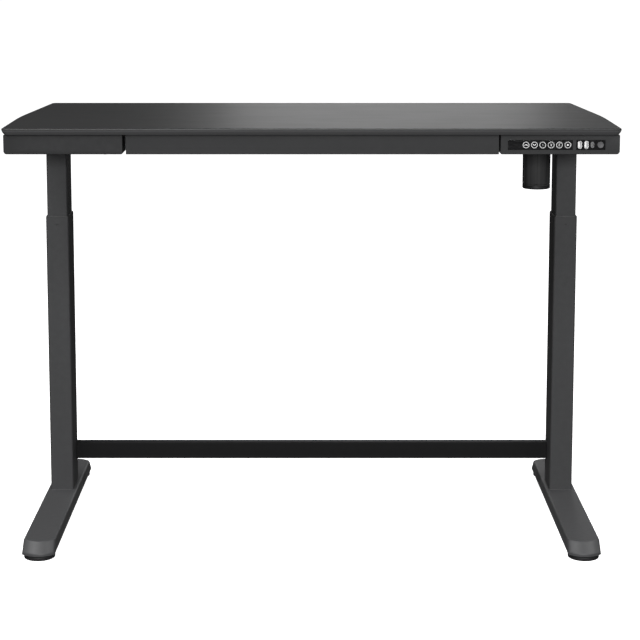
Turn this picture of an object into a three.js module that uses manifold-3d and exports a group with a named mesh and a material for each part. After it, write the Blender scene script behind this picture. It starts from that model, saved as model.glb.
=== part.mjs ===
// Height adjustable standing desk. Units are millimetres.
// X runs across the width, Y from the front (negative) to the back, Z is up and the floor is Z = 0.
// The desk is drawn with the desktop's top face at DESK_TOP, part of the way up its travel.
import * as THREE from 'three';
import Module from 'manifold-3d';
import { mergeVertices } from 'three/addons/utils/BufferGeometryUtils.js';

const wasm = await Module();
wasm.setup();

// Clearance left between pieces that touch on the real desk.
const FIT = 0.3;

// Desktop board.
const DESK_TOP = 838;
const DESK_THICK = 12.6;
const DESK_FRONT_HALF = 600;
const DESK_MIDDLE_HALF = 605;
const DESK_REAR_HALF = 585;
const DESK_DEPTH = 600;
const DESK_WIDEST_Y = -48;
const DESK_CORNER_R = 9;
const DESK_SIDE_BLEND = 60;
const DESK_UNDERCUT = 5;
const DESK_UNDER = DESK_TOP - DESK_THICK;

// Two-stage lifting columns.
const COLUMN_X = 533.5;
const COLUMN_Y = 12;
const OUTER_W = 48;
const OUTER_D = 80;
const OUTER_WALL = 1.5;
const OUTER_R = 4;
const OUTER_FLOOR = 6;
const OUTER_TOP = 625;
const INNER_W = 42.4;
const INNER_D = 74.4;
const INNER_WALL = 1.8;
const INNER_R = 3;
const INNER_BORE_R = 1.5;
const INNER_BOTTOM = 166;
const INNER_TOP = 773;
const BUSH_WALL = 0.7;
const BUSH_LENGTH = 40;
const BUSH_FLANGE = 2;
const SLIDER_LENGTH = 30;
const SLIDER_LIP = 2;
const SLOT_Z = 609;
const SLOT_W = 7;
const SLOT_H = 3;

// Feet and levelling pads.
const FOOT_TOP = 35;
const FOOT_UNDER = 10;
const FOOT_LIP = 15;
const FOOT_W = 64;
const FOOT_FRONT = -385;
const FOOT_REAR = 228;
const FOOT_TIP_BULGE = 14;
const FOOT_CREST_SETBACK = 18.5;
const FOOT_CREST_BULGE = 19.5;
const FOOT_WALL = 3;
const FOOT_EDGE_R = 4;
const PAD_R = 30.5;
const PAD_THICK = 9.4;
const PAD_SETBACK = 32;
const PAD_BOSS_R = 9;
const SOCKET_R = 8;
const SOCKET_FLOOR = 2.5;
const SWIVEL_TOP = 7;
const STUD_R = 4;
const STUD_TOP = 31;

// Crossbar between the columns.
const BAR_Z0 = 89;
const BAR_Z1 = 125;
const BAR_Y0 = 23.5;
const BAR_Y1 = 45.5;
const BAR_WALL = 2;
const BAR_STUB = 34;

// Lifting gear: hex shaft, bevel gears, lead screws, nuts and worm drive.
const SHAFT_Z = 805;
const SHAFT_FLATS = 9;
const SHAFT_LEFT = -553.5;
const SHAFT_RIGHT = 529.5;
const SCREW_R = 8;
const SCREW_BOTTOM = 174;
const SCREW_JOURNAL_R = 6;
const NUT_TUBE_R = 14;
const NUT_TUBE_WALL = 2;
const NUT_TUBE_TOP = 560;
const NUT_SPIGOT = 20;
const NUT_FLANGE_R = 17;
const NUT_FLANGE = 6;
const NUT_LENGTH = 30;
const BEVEL_R = 13;
const BEVEL_FACE = 5;
const BEVEL_TEETH = 12;
const TOOTH = 1.2;
const GEARBOX_W = 56;
const GEARBOX_D = 72;
const GEARBOX_TOP = 821.8;
const GEARBOX_WALL = 3.5;
const GEARBOX_FLOOR = 6;
const GEARBOX_PLUG = 14;
const SHAFT_HOLE_R = 5.9;
const WHEEL_R = 15;
const WHEEL_TEETH = 20;
const WHEEL_FACE = 10;
const WORM_R = 5.6;
const WORM_PITCH = 4.7;
const WORM_TURNS = 5;
const WORM_OFFSET = 0.7;
const WORM_SEAT = 15;
const ROTOR_R = 3.5;

// Motor hanging beside the right-hand column.
const MOTOR_X = 472.5;
const MOTOR_Y = -9;
const MOTOR_R = 29;
const MOTOR_BOTTOM = 684;
const MOTOR_TOP = 775;
const MOTOR_CAP = 7;
const MOTOR_WALL = 2;
const MOTOR_SPIGOT = 5;

// Under-desk frame.
const BRACKET_THICK = 3;
const BRACKET_IN = 500;
const BRACKET_OUT = 569;
const BRACKET_FRONT = -225;
const BRACKET_REAR = 262;
const BRACKET_LIP_Z = 797;
const FRAME_TOP = DESK_UNDER - FIT;
const RAIL_DEPTH = 37;
const RAIL_UNDER = 795;
const RAIL_SHEET = 2;

// Front boxes and drawer.
const FRONT_Y = -292;
const APRON_DEPTH = 60;
const APRON_Z0 = 787;
const APRON_Z1 = 824.6;
const APRON_R = 6;
const APRON_INNER_R = 3;
const APRON_WALL = 2;
const APRON_X0 = -597.5;
const APRON_X1 = -366.5;
const CAP_X = -403;
const CAP_Y = -266;
const CAP_R = 7.5;
const CAP_DROP = 2.5;
const CONTROL_X0 = 366.7;
const CONTROL_X1 = 598;
const DRAWER_X0 = -360;
const DRAWER_X1 = 363.5;
const DRAWER_FRONT_THICK = 14;
const TRAY_MARGIN = 20;
const TRAY_REAR = -25;
const TRAY_Z0 = 791;
const TRAY_Z1 = 819;
const TRAY_WALL = 2;
const DIVIDER_Y = 88;
const DIVIDER_X = 200;
const DIVIDER_DROP = 10;

// Control windows, sockets and push button.
const WINDOW_Z0 = 795.7;
const WINDOW_Z1 = 815.2;
const DISPLAY_X0 = 380.6;
const DISPLAY_X1 = 506.4;
const PORTS_X0 = 512.8;
const PORTS_X1 = 569.6;
const CONTROL_Z = 805.6;
const RECESS = 1.6;
const USB_A_X = [520.3, 532.9];
const USB_A_W = 7.9;
const USB_A_H = 15.2;
const USB_C_X = 544.6;
const USB_C_W = 5.8;
const USB_C_H = 11.4;
const PORT_DEPTH = 13;
const BUTTON_X = 560.2;
const BUTTON_R = 6.2;
const BUTTON_STEM_R = 2;
const BOARD_X0 = 374;
const BOARD_X1 = 590;
const BOARD_Y = FRONT_Y + PORT_DEPTH + 2;
const BOARD_THICK = 1.6;
const BOARD_HALF = 13;

// Power unit under the desktop and its mains inlet.
const POWER_X0 = -230;
const POWER_X1 = 10;
const POWER_Y0 = 120;
const POWER_Y1 = 205;
const POWER_Z0 = 790;
const INLET_W = 24;
const INLET_H = 14;
const INLET_DEPTH = 18;
const INLET_WELL = 12;
const PIN_R = 1.2;
const PIN_SPACING = 8.8;

// Drawer runners.
const RUNNER_Z = 806;
const RUNNER_Y0 = -270;
const RUNNER_Y1 = -30;
const RUNNER_HALF = 13;
const RUNNER_SHEET = 1.2;
const RUNNER_FLANGE = 8.6;
const RUNNER_EAR = 10;
const RUNNER_INSET = 7.4;
const RUNNER_INNER_HALF = 8.2;
const BALL_R = 1.5;
const BALL_PITCH = 18;
const CAGE_Y0 = -185;
const CAGE_Y1 = -115;

// ---------------------------------------------------------------- geometry helpers

function toSolid(geometry) {
  const bare = geometry.index ? geometry.toNonIndexed() : geometry.clone();
  bare.deleteAttribute('normal');
  bare.deleteAttribute('uv');
  const merged = mergeVertices(bare, 1e-4);
  const mesh = new wasm.Mesh({
    numProp: 3,
    vertProperties: new Float32Array(merged.attributes.position.array),
    triVerts: new Uint32Array(merged.index.array),
  });
  return new wasm.Manifold(mesh);
}

function toGeometry(solid) {
  const mesh = solid.getMesh();
  const geometry = new THREE.BufferGeometry();
  const position = new THREE.BufferAttribute(new Float32Array(mesh.vertProperties), 3);
  geometry.setAttribute('position', position);
  geometry.setIndex(new THREE.BufferAttribute(new Uint32Array(mesh.triVerts), 1));
  geometry.computeVertexNormals();
  return geometry;
}

function join(first, ...others) {
  return others.reduce((sum, other) => sum.add(other), first);
}

function cut(first, ...others) {
  return others.reduce((rest, other) => rest.subtract(other), first);
}

function box(x0, x1, y0, y1, z0, z1) {
  const geometry = new THREE.BoxGeometry(Math.abs(x1 - x0), y1 - y0, z1 - z0);
  geometry.translate((x0 + x1) / 2, (y0 + y1) / 2, (z0 + z1) / 2);
  return toSolid(geometry);
}

function extrude(shape, depth, segments) {
  return new THREE.ExtrudeGeometry(shape, { depth, bevelEnabled: false, curveSegments: segments });
}

// Prism standing up from z0 to z1; the shape is drawn in X and Y.
function prismZ(shape, z0, z1, segments = 3) {
  const geometry = extrude(shape, z1 - z0, segments);
  geometry.translate(0, 0, z0);
  return toSolid(geometry);
}

// Prism lying across the desk from x0 to x1; the shape is drawn in Y and Z.
function prismX(shape, x0, x1, segments = 3) {
  const geometry = extrude(shape, x1 - x0, segments);
  const turn = new THREE.Matrix4();
  turn.makeBasis(new THREE.Vector3(0, 1, 0), new THREE.Vector3(0, 0, 1), new THREE.Vector3(1, 0, 0));
  geometry.applyMatrix4(turn);
  geometry.translate(x0, 0, 0);
  return toSolid(geometry);
}

// Prism lying front to back from y0 to y1; the shape is drawn in X and Z.
function prismY(shape, y0, y1, segments = 3) {
  const geometry = extrude(shape, y1 - y0, segments);
  const turn = new THREE.Matrix4();
  turn.makeBasis(new THREE.Vector3(1, 0, 0), new THREE.Vector3(0, 0, 1), new THREE.Vector3(0, -1, 0));
  geometry.applyMatrix4(turn);
  geometry.translate(0, y1, 0);
  return toSolid(geometry);
}

function circle(cx, cy, r) {
  const shape = new THREE.Shape();
  shape.absarc(cx, cy, r, 0, Math.PI * 2, false);
  return shape;
}

// Rectangle with all four corners rounded.
function roundRect(cx, cy, w, h, r) {
  const x0 = cx - w / 2;
  const x1 = cx + w / 2;
  const y0 = cy - h / 2;
  const y1 = cy + h / 2;
  const shape = new THREE.Shape();
  shape.moveTo(x0 + r, y0);
  shape.lineTo(x1 - r, y0);
  shape.absarc(x1 - r, y0 + r, r, -Math.PI / 2, 0, false);
  shape.lineTo(x1, y1 - r);
  shape.absarc(x1 - r, y1 - r, r, 0, Math.PI / 2, false);
  shape.lineTo(x0 + r, y1);
  shape.absarc(x0 + r, y1 - r, r, Math.PI / 2, Math.PI, false);
  shape.lineTo(x0, y0 + r);
  shape.absarc(x0 + r, y0 + r, r, Math.PI, Math.PI * 1.5, false);
  return shape;
}

// Front outline of an apron box: square top corners, lower corners rounded by ra and rb.
function apronOutline(x0, x1, z0, z1, ra, rb) {
  const shape = new THREE.Shape();
  shape.moveTo(x0 + ra, z0);
  shape.lineTo(x1 - rb, z0);
  shape.absarc(x1 - rb, z0 + rb, rb, -Math.PI / 2, 0, false);
  shape.lineTo(x1, z1);
  shape.lineTo(x0, z1);
  shape.lineTo(x0, z0 + ra);
  shape.absarc(x0 + ra, z0 + ra, ra, Math.PI, Math.PI * 1.5, false);
  return shape;
}

function regularPolygon(cx, cy, flats, sides) {
  const r = flats / 2 / Math.cos(Math.PI / sides);
  const shape = new THREE.Shape();
  for (let k = 0; k < sides; k += 1) {
    const a = Math.PI / sides + (k * 2 * Math.PI) / sides;
    if (k === 0) {
      shape.moveTo(cx + r * Math.cos(a), cy + r * Math.sin(a));
    } else {
      shape.lineTo(cx + r * Math.cos(a), cy + r * Math.sin(a));
    }
  }
  shape.closePath();
  return shape;
}

function cylinderZ(x, y, r, z0, z1, sides = 32) {
  return prismZ(circle(x, y, r), z0, z1, sides / 2);
}

function cylinderX(y, z, r, x0, x1, sides = 24) {
  return prismX(circle(y, z, r), x0, x1, sides / 2);
}

function cylinderY(x, z, r, y0, y1, sides = 24) {
  return prismY(circle(x, z, r), y0, y1, sides / 2);
}

// Closed skin through a stack of rings that all have the same number of points.
function loft(rings) {
  const count = rings[0].length;
  const points = [];
  const faces = [];
  for (const ring of rings) {
    points.push(...ring);
  }
  for (let level = 0; level + 1 < rings.length; level += 1) {
    for (let k = 0; k < count; k += 1) {
      const a = level * count + k;
      const b = level * count + ((k + 1) % count);
      faces.push([a, b, b + count], [a, b + count, a + count]);
    }
  }
  const bottom = points.length;
  const top = bottom + 1;
  const last = (rings.length - 1) * count;
  points.push(ringCentre(rings[0]), ringCentre(rings[rings.length - 1]));
  for (let k = 0; k < count; k += 1) {
    const next = (k + 1) % count;
    faces.push([bottom, next, k], [top, last + k, last + next]);
  }
  const geometry = new THREE.BufferGeometry();
  geometry.setAttribute('position', new THREE.Float32BufferAttribute(points.flat(), 3));
  geometry.setIndex(faces.flat());
  return toSolid(geometry);
}

function ringCentre(ring) {
  const sum = ring.reduce((total, p) => [total[0] + p[0], total[1] + p[1], total[2] + p[2]], [0, 0, 0]);
  return sum.map((value) => value / ring.length);
}

// ---------------------------------------------------------------- materials

function paintedSteel() {
  return new THREE.MeshStandardMaterial({ color: 0x3b3c3e, roughness: 0.55, metalness: 0.35 });
}

function deskLacquer() {
  return new THREE.MeshStandardMaterial({ color: 0x3d3e40, roughness: 0.38, metalness: 0.0 });
}

function blackPlastic() {
  return new THREE.MeshStandardMaterial({ color: 0x1c1c1e, roughness: 0.6, metalness: 0.0 });
}

function glossPanel() {
  return new THREE.MeshStandardMaterial({ color: 0x101012, roughness: 0.12, metalness: 0.0 });
}

function whitePlastic() {
  return new THREE.MeshStandardMaterial({ color: 0xe8e8e6, roughness: 0.45, metalness: 0.0 });
}

function greyPlastic() {
  return new THREE.MeshStandardMaterial({ color: 0x5c5d5f, roughness: 0.5, metalness: 0.0 });
}

function brightSteel() {
  return new THREE.MeshStandardMaterial({ color: 0x9a9c9e, roughness: 0.35, metalness: 0.9 });
}

function castAluminium() {
  return new THREE.MeshStandardMaterial({ color: 0x86888a, roughness: 0.5, metalness: 0.8 });
}

function brassMetal() {
  return new THREE.MeshStandardMaterial({ color: 0xb08d4a, roughness: 0.4, metalness: 0.9 });
}

function boardGreen() {
  return new THREE.MeshStandardMaterial({ color: 0x1f5a34, roughness: 0.5, metalness: 0.0 });
}

// ---------------------------------------------------------------- base

// Level ring round a foot: straight sides, and ends that bulge out to a point on the middle line.
function footRing(cx, inset, setback, bulge, z) {
  const half = FOOT_W / 2 - inset;
  const radius = (half * half + bulge * bulge) / (2 * bulge);
  const sweep = Math.asin(half / radius);
  const front = FOOT_FRONT + inset + setback + radius;
  const rear = FOOT_REAR - inset - setback - radius;
  const steps = 10;
  const ring = [];
  for (const [y, middle] of [[front, -Math.PI / 2], [rear, Math.PI / 2]]) {
    for (let k = 0; k <= steps; k += 1) {
      const angle = middle + sweep * ((2 * k) / steps - 1);
      ring.push([cx + radius * Math.cos(angle), y + radius * Math.sin(angle), z]);
    }
  }
  return ring;
}

// Cross section of a foot with its two long top edges rounded.
function footSection(cx, inset, bottom) {
  const half = FOOT_W / 2 - inset;
  const top = FOOT_TOP - inset;
  const r = FOOT_EDGE_R;
  const shape = new THREE.Shape();
  shape.moveTo(cx - half, bottom);
  shape.lineTo(cx + half, bottom);
  shape.absarc(cx + half - r, top - r, r, 0, Math.PI / 2, false);
  shape.absarc(cx - half + r, top - r, r, Math.PI / 2, Math.PI, false);
  shape.closePath();
  return shape;
}

// Solid foot with a flat top that slopes down to a low lip at both ends.
function footBlock(cx, inset, bottom) {
  const skin = loft([
    footRing(cx, inset, 0, FOOT_TIP_BULGE, bottom),
    footRing(cx, inset, 0, FOOT_TIP_BULGE, FOOT_LIP - inset),
    footRing(cx, inset, FOOT_CREST_SETBACK, FOOT_CREST_BULGE, FOOT_TOP - inset),
  ]);
  return skin.intersect(prismY(footSection(cx, inset, bottom), FOOT_FRONT - 1, FOOT_REAR + 1, 3));
}

function padCentres() {
  return [FOOT_FRONT + PAD_SETBACK, FOOT_REAR - PAD_SETBACK];
}

function foot(side) {
  const cx = side * COLUMN_X;
  const hollow = footBlock(cx, FOOT_WALL, FOOT_UNDER - 2);
  let shell = cut(footBlock(cx, 0, FOOT_UNDER), hollow);
  for (const y of padCentres()) {
    const boss = cylinderZ(cx, y, PAD_BOSS_R, FOOT_UNDER + 3, FOOT_TOP - FOOT_WALL + 0.5, 20);
    shell = join(shell, boss.intersect(footBlock(cx, 0.5, FOOT_UNDER)));
    shell = cut(shell, cylinderZ(cx, y, STUD_R + FIT, FOOT_UNDER - 1, FOOT_TOP - 2, 16));
  }
  return shell;
}

function outerTube(side) {
  const cx = side * COLUMN_X;
  const bottom = FOOT_TOP + FIT;
  const skin = roundRect(cx, COLUMN_Y, OUTER_W, OUTER_D, OUTER_R);
  const innerW = OUTER_W - 2 * OUTER_WALL;
  const innerD = OUTER_D - 2 * OUTER_WALL;
  const bore = roundRect(cx, COLUMN_Y, innerW, innerD, OUTER_R - OUTER_WALL);
  const tube = cut(prismZ(skin, bottom, OUTER_TOP), prismZ(bore, bottom + OUTER_FLOOR, OUTER_TOP + 1));
  const slot = roundRect(cx, SLOT_Z, SLOT_W, SLOT_H, SLOT_H / 2 - 0.1);
  const front = COLUMN_Y - OUTER_D / 2;
  const slotted = cut(tube, prismY(slot, front - 1, front + OUTER_WALL + 0.4));
  const faceX = side * (COLUMN_X - OUTER_W / 2);
  const stubIn = BAR_WALL + FIT;
  const x0 = Math.min(faceX + side * 0.5, faceX - side * BAR_STUB);
  const x1 = Math.max(faceX + side * 0.5, faceX - side * BAR_STUB);
  const stub = box(x0, x1, BAR_Y0 + stubIn, BAR_Y1 - stubIn, BAR_Z0 + stubIn, BAR_Z1 - stubIn);
  return join(slotted, stub);
}

function glideBush(side) {
  const cx = side * COLUMN_X;
  const holeW = INNER_W + 2 * FIT;
  const holeD = INNER_D + 2 * FIT;
  const hole = roundRect(cx, COLUMN_Y, holeW, holeD, INNER_R + FIT);
  const sleeveR = OUTER_R - OUTER_WALL + 0.1;
  const sleeve = roundRect(cx, COLUMN_Y, holeW + 2 * BUSH_WALL, holeD + 2 * BUSH_WALL, sleeveR);
  const flange = roundRect(cx, COLUMN_Y, OUTER_W - 2 * FIT, OUTER_D - 2 * FIT, OUTER_R - 0.2);
  const flangeZ = OUTER_TOP + FIT;
  const lower = prismZ(sleeve, OUTER_TOP - BUSH_LENGTH, flangeZ + 0.5);
  const upper = prismZ(flange, flangeZ, flangeZ + BUSH_FLANGE);
  return cut(join(lower, upper), prismZ(hole, OUTER_TOP - BUSH_LENGTH - 1, flangeZ + BUSH_FLANGE + 1));
}

function crossbar() {
  const half = COLUMN_X - OUTER_W / 2 - FIT;
  const cy = (BAR_Y0 + BAR_Y1) / 2;
  const cz = (BAR_Z0 + BAR_Z1) / 2;
  const d = BAR_Y1 - BAR_Y0;
  const h = BAR_Z1 - BAR_Z0;
  const skin = roundRect(cy, cz, d, h, 1.8);
  const bore = roundRect(cy, cz, d - 2 * BAR_WALL, h - 2 * BAR_WALL, 0.2);
  return cut(prismX(skin, -half, half), prismX(bore, -half - 1, half + 1));
}

function nutTube(side) {
  const cx = side * COLUMN_X;
  const bottom = FOOT_TOP + OUTER_FLOOR + 2 * FIT;
  const skin = cylinderZ(cx, COLUMN_Y, NUT_TUBE_R, bottom, NUT_TUBE_TOP, 28);
  const bore = cylinderZ(cx, COLUMN_Y, NUT_TUBE_R - NUT_TUBE_WALL, bottom - 1, NUT_TUBE_TOP + 1, 28);
  return cut(skin, bore);
}

function leadNut(side) {
  const cx = side * COLUMN_X;
  const seat = NUT_TUBE_TOP + FIT;
  const top = seat + NUT_LENGTH;
  const spigot = cylinderZ(cx, COLUMN_Y, NUT_TUBE_R - NUT_TUBE_WALL - FIT, seat - NUT_SPIGOT, seat + 1, 28);
  const flange = cylinderZ(cx, COLUMN_Y, NUT_FLANGE_R, seat, seat + NUT_FLANGE, 28);
  const barrel = cylinderZ(cx, COLUMN_Y, NUT_TUBE_R, seat + NUT_FLANGE - 1, top, 28);
  const bore = cylinderZ(cx, COLUMN_Y, SCREW_R + FIT, seat - NUT_SPIGOT - 1, top + 1, 24);
  return cut(join(spigot, flange, barrel), bore);
}

function levellingPad(side, y) {
  const cx = side * COLUMN_X;
  const profile = [
    new THREE.Vector2(0, 0),
    new THREE.Vector2(PAD_R - 1.5, 0),
    new THREE.Vector2(PAD_R, 1.5),
    new THREE.Vector2(PAD_R, PAD_THICK - 2),
    new THREE.Vector2(PAD_R - 2, PAD_THICK),
    new THREE.Vector2(0, PAD_THICK),
  ];
  const geometry = new THREE.LatheGeometry(profile, 32);
  geometry.rotateX(Math.PI / 2);
  geometry.translate(cx, y, 0);
  return cut(toSolid(geometry), cylinderZ(cx, y, SOCKET_R, SOCKET_FLOOR, PAD_THICK + 1, 24));
}

// Threaded stud with a round swivel foot that turns in the pad's socket.
function levellingStud(side, y) {
  const cx = side * COLUMN_X;
  const swivel = cylinderZ(cx, y, SOCKET_R - FIT, SOCKET_FLOOR + FIT, SWIVEL_TOP, 24);
  const shank = cylinderZ(cx, y, STUD_R, SWIVEL_TOP - 1, STUD_TOP, 20);
  return join(swivel, shank);
}

// ---------------------------------------------------------------- lifting frame

// Outline of the desktop, drawn in from its widest line by inset.
function deskRing(inset, z) {
  const front = -DESK_DEPTH / 2 + inset;
  const rear = DESK_DEPTH / 2 - inset;
  const corners = [
    [-(DESK_FRONT_HALF - inset), front, DESK_CORNER_R],
    [DESK_FRONT_HALF - inset, front, DESK_CORNER_R],
    [DESK_MIDDLE_HALF - inset, DESK_WIDEST_Y, DESK_SIDE_BLEND],
    [DESK_REAR_HALF - inset, rear, DESK_CORNER_R],
    [-(DESK_REAR_HALF - inset), rear, DESK_CORNER_R],
    [-(DESK_MIDDLE_HALF - inset), DESK_WIDEST_Y, DESK_SIDE_BLEND],
  ];
  const ring = [];
  corners.forEach((corner, k) => {
    const before = corners[(k + corners.length - 1) % corners.length];
    const after = corners[(k + 1) % corners.length];
    ring.push(...roundedCorner(before, corner, after, z));
  });
  return ring;
}

// Points that round one corner off with a smooth curve tangent to both edges.
function roundedCorner(before, corner, after, z) {
  const steps = 6;
  const into = new THREE.Vector2(before[0] - corner[0], before[1] - corner[1]).normalize();
  const out = new THREE.Vector2(after[0] - corner[0], after[1] - corner[1]).normalize();
  const points = [];
  for (let k = 0; k <= steps; k += 1) {
    const t = k / steps;
    const a = (1 - t) * (1 - t) * corner[2];
    const b = t * t * corner[2];
    points.push([corner[0] + into.x * a + out.x * b, corner[1] + into.y * a + out.y * b, z]);
  }
  return points;
}

function desktop() {
  const rings = [
    deskRing(DESK_UNDERCUT, DESK_UNDER),
    deskRing(0, DESK_TOP - 4.5),
    deskRing(0, DESK_TOP - 1.6),
    deskRing(0.5, DESK_TOP - 0.5),
    deskRing(1.6, DESK_TOP),
  ];
  return loft(rings);
}

function innerTube(side) {
  const cx = side * COLUMN_X;
  const skin = roundRect(cx, COLUMN_Y, INNER_W, INNER_D, INNER_R);
  const boreW = INNER_W - 2 * INNER_WALL;
  const boreD = INNER_D - 2 * INNER_WALL;
  const bore = roundRect(cx, COLUMN_Y, boreW, boreD, INNER_BORE_R);
  return cut(prismZ(skin, INNER_BOTTOM, INNER_TOP), prismZ(bore, INNER_BOTTOM - 1, INNER_TOP + 1));
}

// Plastic sleeve round the bottom of the inner tube, with a lip under the tube's end.
function lowerSlider(side) {
  const cx = side * COLUMN_X;
  const gapW = INNER_W + 2 * FIT;
  const gapD = INNER_D + 2 * FIT;
  const skin = roundRect(cx, COLUMN_Y, gapW + 2 * BUSH_WALL, gapD + 2 * BUSH_WALL, 2.2);
  const pocket = roundRect(cx, COLUMN_Y, gapW, gapD, 1.8);
  const boreW = INNER_W - 2 * INNER_WALL;
  const boreD = INNER_D - 2 * INNER_WALL;
  const hole = roundRect(cx, COLUMN_Y, boreW, boreD, INNER_BORE_R);
  const lipTop = INNER_BOTTOM - FIT;
  const sleeve = prismZ(skin, lipTop - SLIDER_LIP, INNER_BOTTOM + SLIDER_LENGTH);
  const hollow = prismZ(pocket, lipTop, INNER_BOTTOM + SLIDER_LENGTH + 1);
  return cut(sleeve, hollow, prismZ(hole, lipTop - SLIDER_LIP - 1, lipTop + 1));
}

// Cast housing over a column: open at the top, with a spigot down into the inner tube.
function columnGearbox(side) {
  const cx = side * COLUMN_X;
  const x0 = cx - GEARBOX_W / 2;
  const x1 = cx + GEARBOX_W / 2;
  const y0 = COLUMN_Y - GEARBOX_D / 2;
  const y1 = COLUMN_Y + GEARBOX_D / 2;
  const floor = INNER_TOP + FIT;
  const w = GEARBOX_WALL;
  const body = prismZ(roundRect(cx, COLUMN_Y, GEARBOX_W, GEARBOX_D, 4), floor, GEARBOX_TOP);
  const well = box(x0 + w, x1 - w, y0 + w, y1 - w, floor + GEARBOX_FLOOR, GEARBOX_TOP + 1);
  const plugW = INNER_W - 2 * INNER_WALL - 2 * FIT;
  const plugD = INNER_D - 2 * INNER_WALL - 2 * FIT;
  const plugBottom = floor - GEARBOX_PLUG;
  const plug = prismZ(roundRect(cx, COLUMN_Y, plugW, plugD, INNER_BORE_R), plugBottom, floor + 1);
  const holeTop = floor + GEARBOX_FLOOR + 1;
  const screwHole = cylinderZ(cx, COLUMN_Y, SCREW_R + 1, plugBottom - 1, holeTop, 24);
  const near = side > 0 ? x0 : x1;
  const shaftHole = cylinderX(COLUMN_Y, SHAFT_Z, SHAFT_HOLE_R, near - 5, near + 5, 24);
  return cut(join(cut(body, well), plug), screwHole, shaftHole);
}

// Angle bracket under each end of the desktop, carrying the column and its gearbox.
function sideBracket(side) {
  const xa = side * BRACKET_IN;
  const xb = side * BRACKET_OUT;
  const plateZ = FRAME_TOP - BRACKET_THICK;
  const lip = xb - side * BRACKET_THICK;
  const [p0, p1] = [Math.min(xa, xb), Math.max(xa, xb)];
  const [f0, f1] = [Math.min(xb, lip), Math.max(xb, lip)];
  const plate = box(p0, p1, BRACKET_FRONT, BRACKET_REAR, plateZ, FRAME_TOP);
  const flange = box(f0, f1, BRACKET_FRONT, BRACKET_REAR, BRACKET_LIP_Z, plateZ + 1);
  const angle = join(plate, flange);
  if (side < 0) {
    return angle;
  }
  const y0 = MOTOR_Y - MOTOR_R - 12;
  const y1 = COLUMN_Y + GEARBOX_D / 2;
  return join(angle, box(MOTOR_X - MOTOR_R, BRACKET_IN + 1, y0, y1, plateZ, FRAME_TOP));
}

function rearRail() {
  const half = BRACKET_IN - FIT;
  const y0 = BRACKET_REAR - RAIL_DEPTH;
  const s = RAIL_SHEET;
  const top = box(-half, half, y0, BRACKET_REAR, FRAME_TOP - s, FRAME_TOP);
  const web = box(-half, half, BRACKET_REAR - s, BRACKET_REAR, RAIL_UNDER, FRAME_TOP - s / 2);
  const bottom = box(-half, half, y0, BRACKET_REAR - s / 2, RAIL_UNDER, RAIL_UNDER + s);
  return join(top, web, bottom);
}

// ---------------------------------------------------------------- lifting gear

// Ring of teeth points at one end of a gear blank, in the plane across its axis.
function toothRing(r, teeth, height, z) {
  const ring = [];
  for (let k = 0; k < teeth; k += 1) {
    const a = (k * 2 * Math.PI) / teeth;
    const step = (2 * Math.PI) / teeth;
    ring.push([(r - height) * Math.cos(a), (r - height) * Math.sin(a), z]);
    ring.push([r * Math.cos(a + step * 0.2), r * Math.sin(a + step * 0.2), z]);
    ring.push([r * Math.cos(a + step * 0.45), r * Math.sin(a + step * 0.45), z]);
    ring.push([(r - height) * Math.cos(a + step * 0.65), (r - height) * Math.sin(a + step * 0.65), z]);
  }
  return ring;
}

// Bevel gear on the Z axis with its large end at z = 0, narrowing upward to the cone's tip.
function bevelBlank() {
  const setback = BEVEL_R - TOOTH;
  const small = (setback - BEVEL_FACE) / setback;
  const hub = toothRing(BEVEL_R * 0.72, BEVEL_TEETH, TOOTH * 0.2, -3);
  const large = toothRing(BEVEL_R - 0.8, BEVEL_TEETH, TOOTH, 0);
  const little = toothRing((BEVEL_R - 0.8) * small, BEVEL_TEETH, TOOTH * small, BEVEL_FACE);
  return loft([hub, large, little]);
}

// Lead screw with its journal and the bevel gear cut on its upper end.
function leadScrew(side) {
  const cx = side * COLUMN_X;
  const floor = INNER_TOP + FIT;
  const gearZ = SHAFT_Z - BEVEL_R - TOOTH;
  const rod = cylinderZ(cx, COLUMN_Y, SCREW_R, SCREW_BOTTOM, floor + 8, 24);
  const journal = cylinderZ(cx, COLUMN_Y, SCREW_JOURNAL_R, floor + 7, gearZ + 1, 24);
  return join(rod, journal, bevelBlank().translate([cx, COLUMN_Y, gearZ]));
}

// Bevel gear carried on the hex shaft. Both face the same way, so both lead screws turn together.
function shaftBevel(side) {
  const x = side * COLUMN_X - BEVEL_R - TOOTH;
  const placed = bevelBlank().rotate([0, 90, 0]).translate([x, COLUMN_Y, SHAFT_Z]);
  const bore = regularPolygon(COLUMN_Y, SHAFT_Z, SHAFT_FLATS + 2 * FIT, 6);
  return cut(placed, prismX(bore, x - 10, x + 10));
}

function driveShaft() {
  return prismX(regularPolygon(COLUMN_Y, SHAFT_Z, SHAFT_FLATS, 6), SHAFT_LEFT, SHAFT_RIGHT);
}

function wormWheel() {
  const half = WHEEL_FACE / 2;
  const rings = [-half, half].map((z) => toothRing(WHEEL_R, WHEEL_TEETH, TOOTH, z));
  const blank = loft(rings);
  const placed = blank.rotate([0, 90, 0]).translate([MOTOR_X, COLUMN_Y, SHAFT_Z]);
  const bore = regularPolygon(COLUMN_Y, SHAFT_Z, SHAFT_FLATS + 2 * FIT, 6);
  return cut(placed, prismX(bore, MOTOR_X - half - 1, MOTOR_X + half + 1));
}

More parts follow.
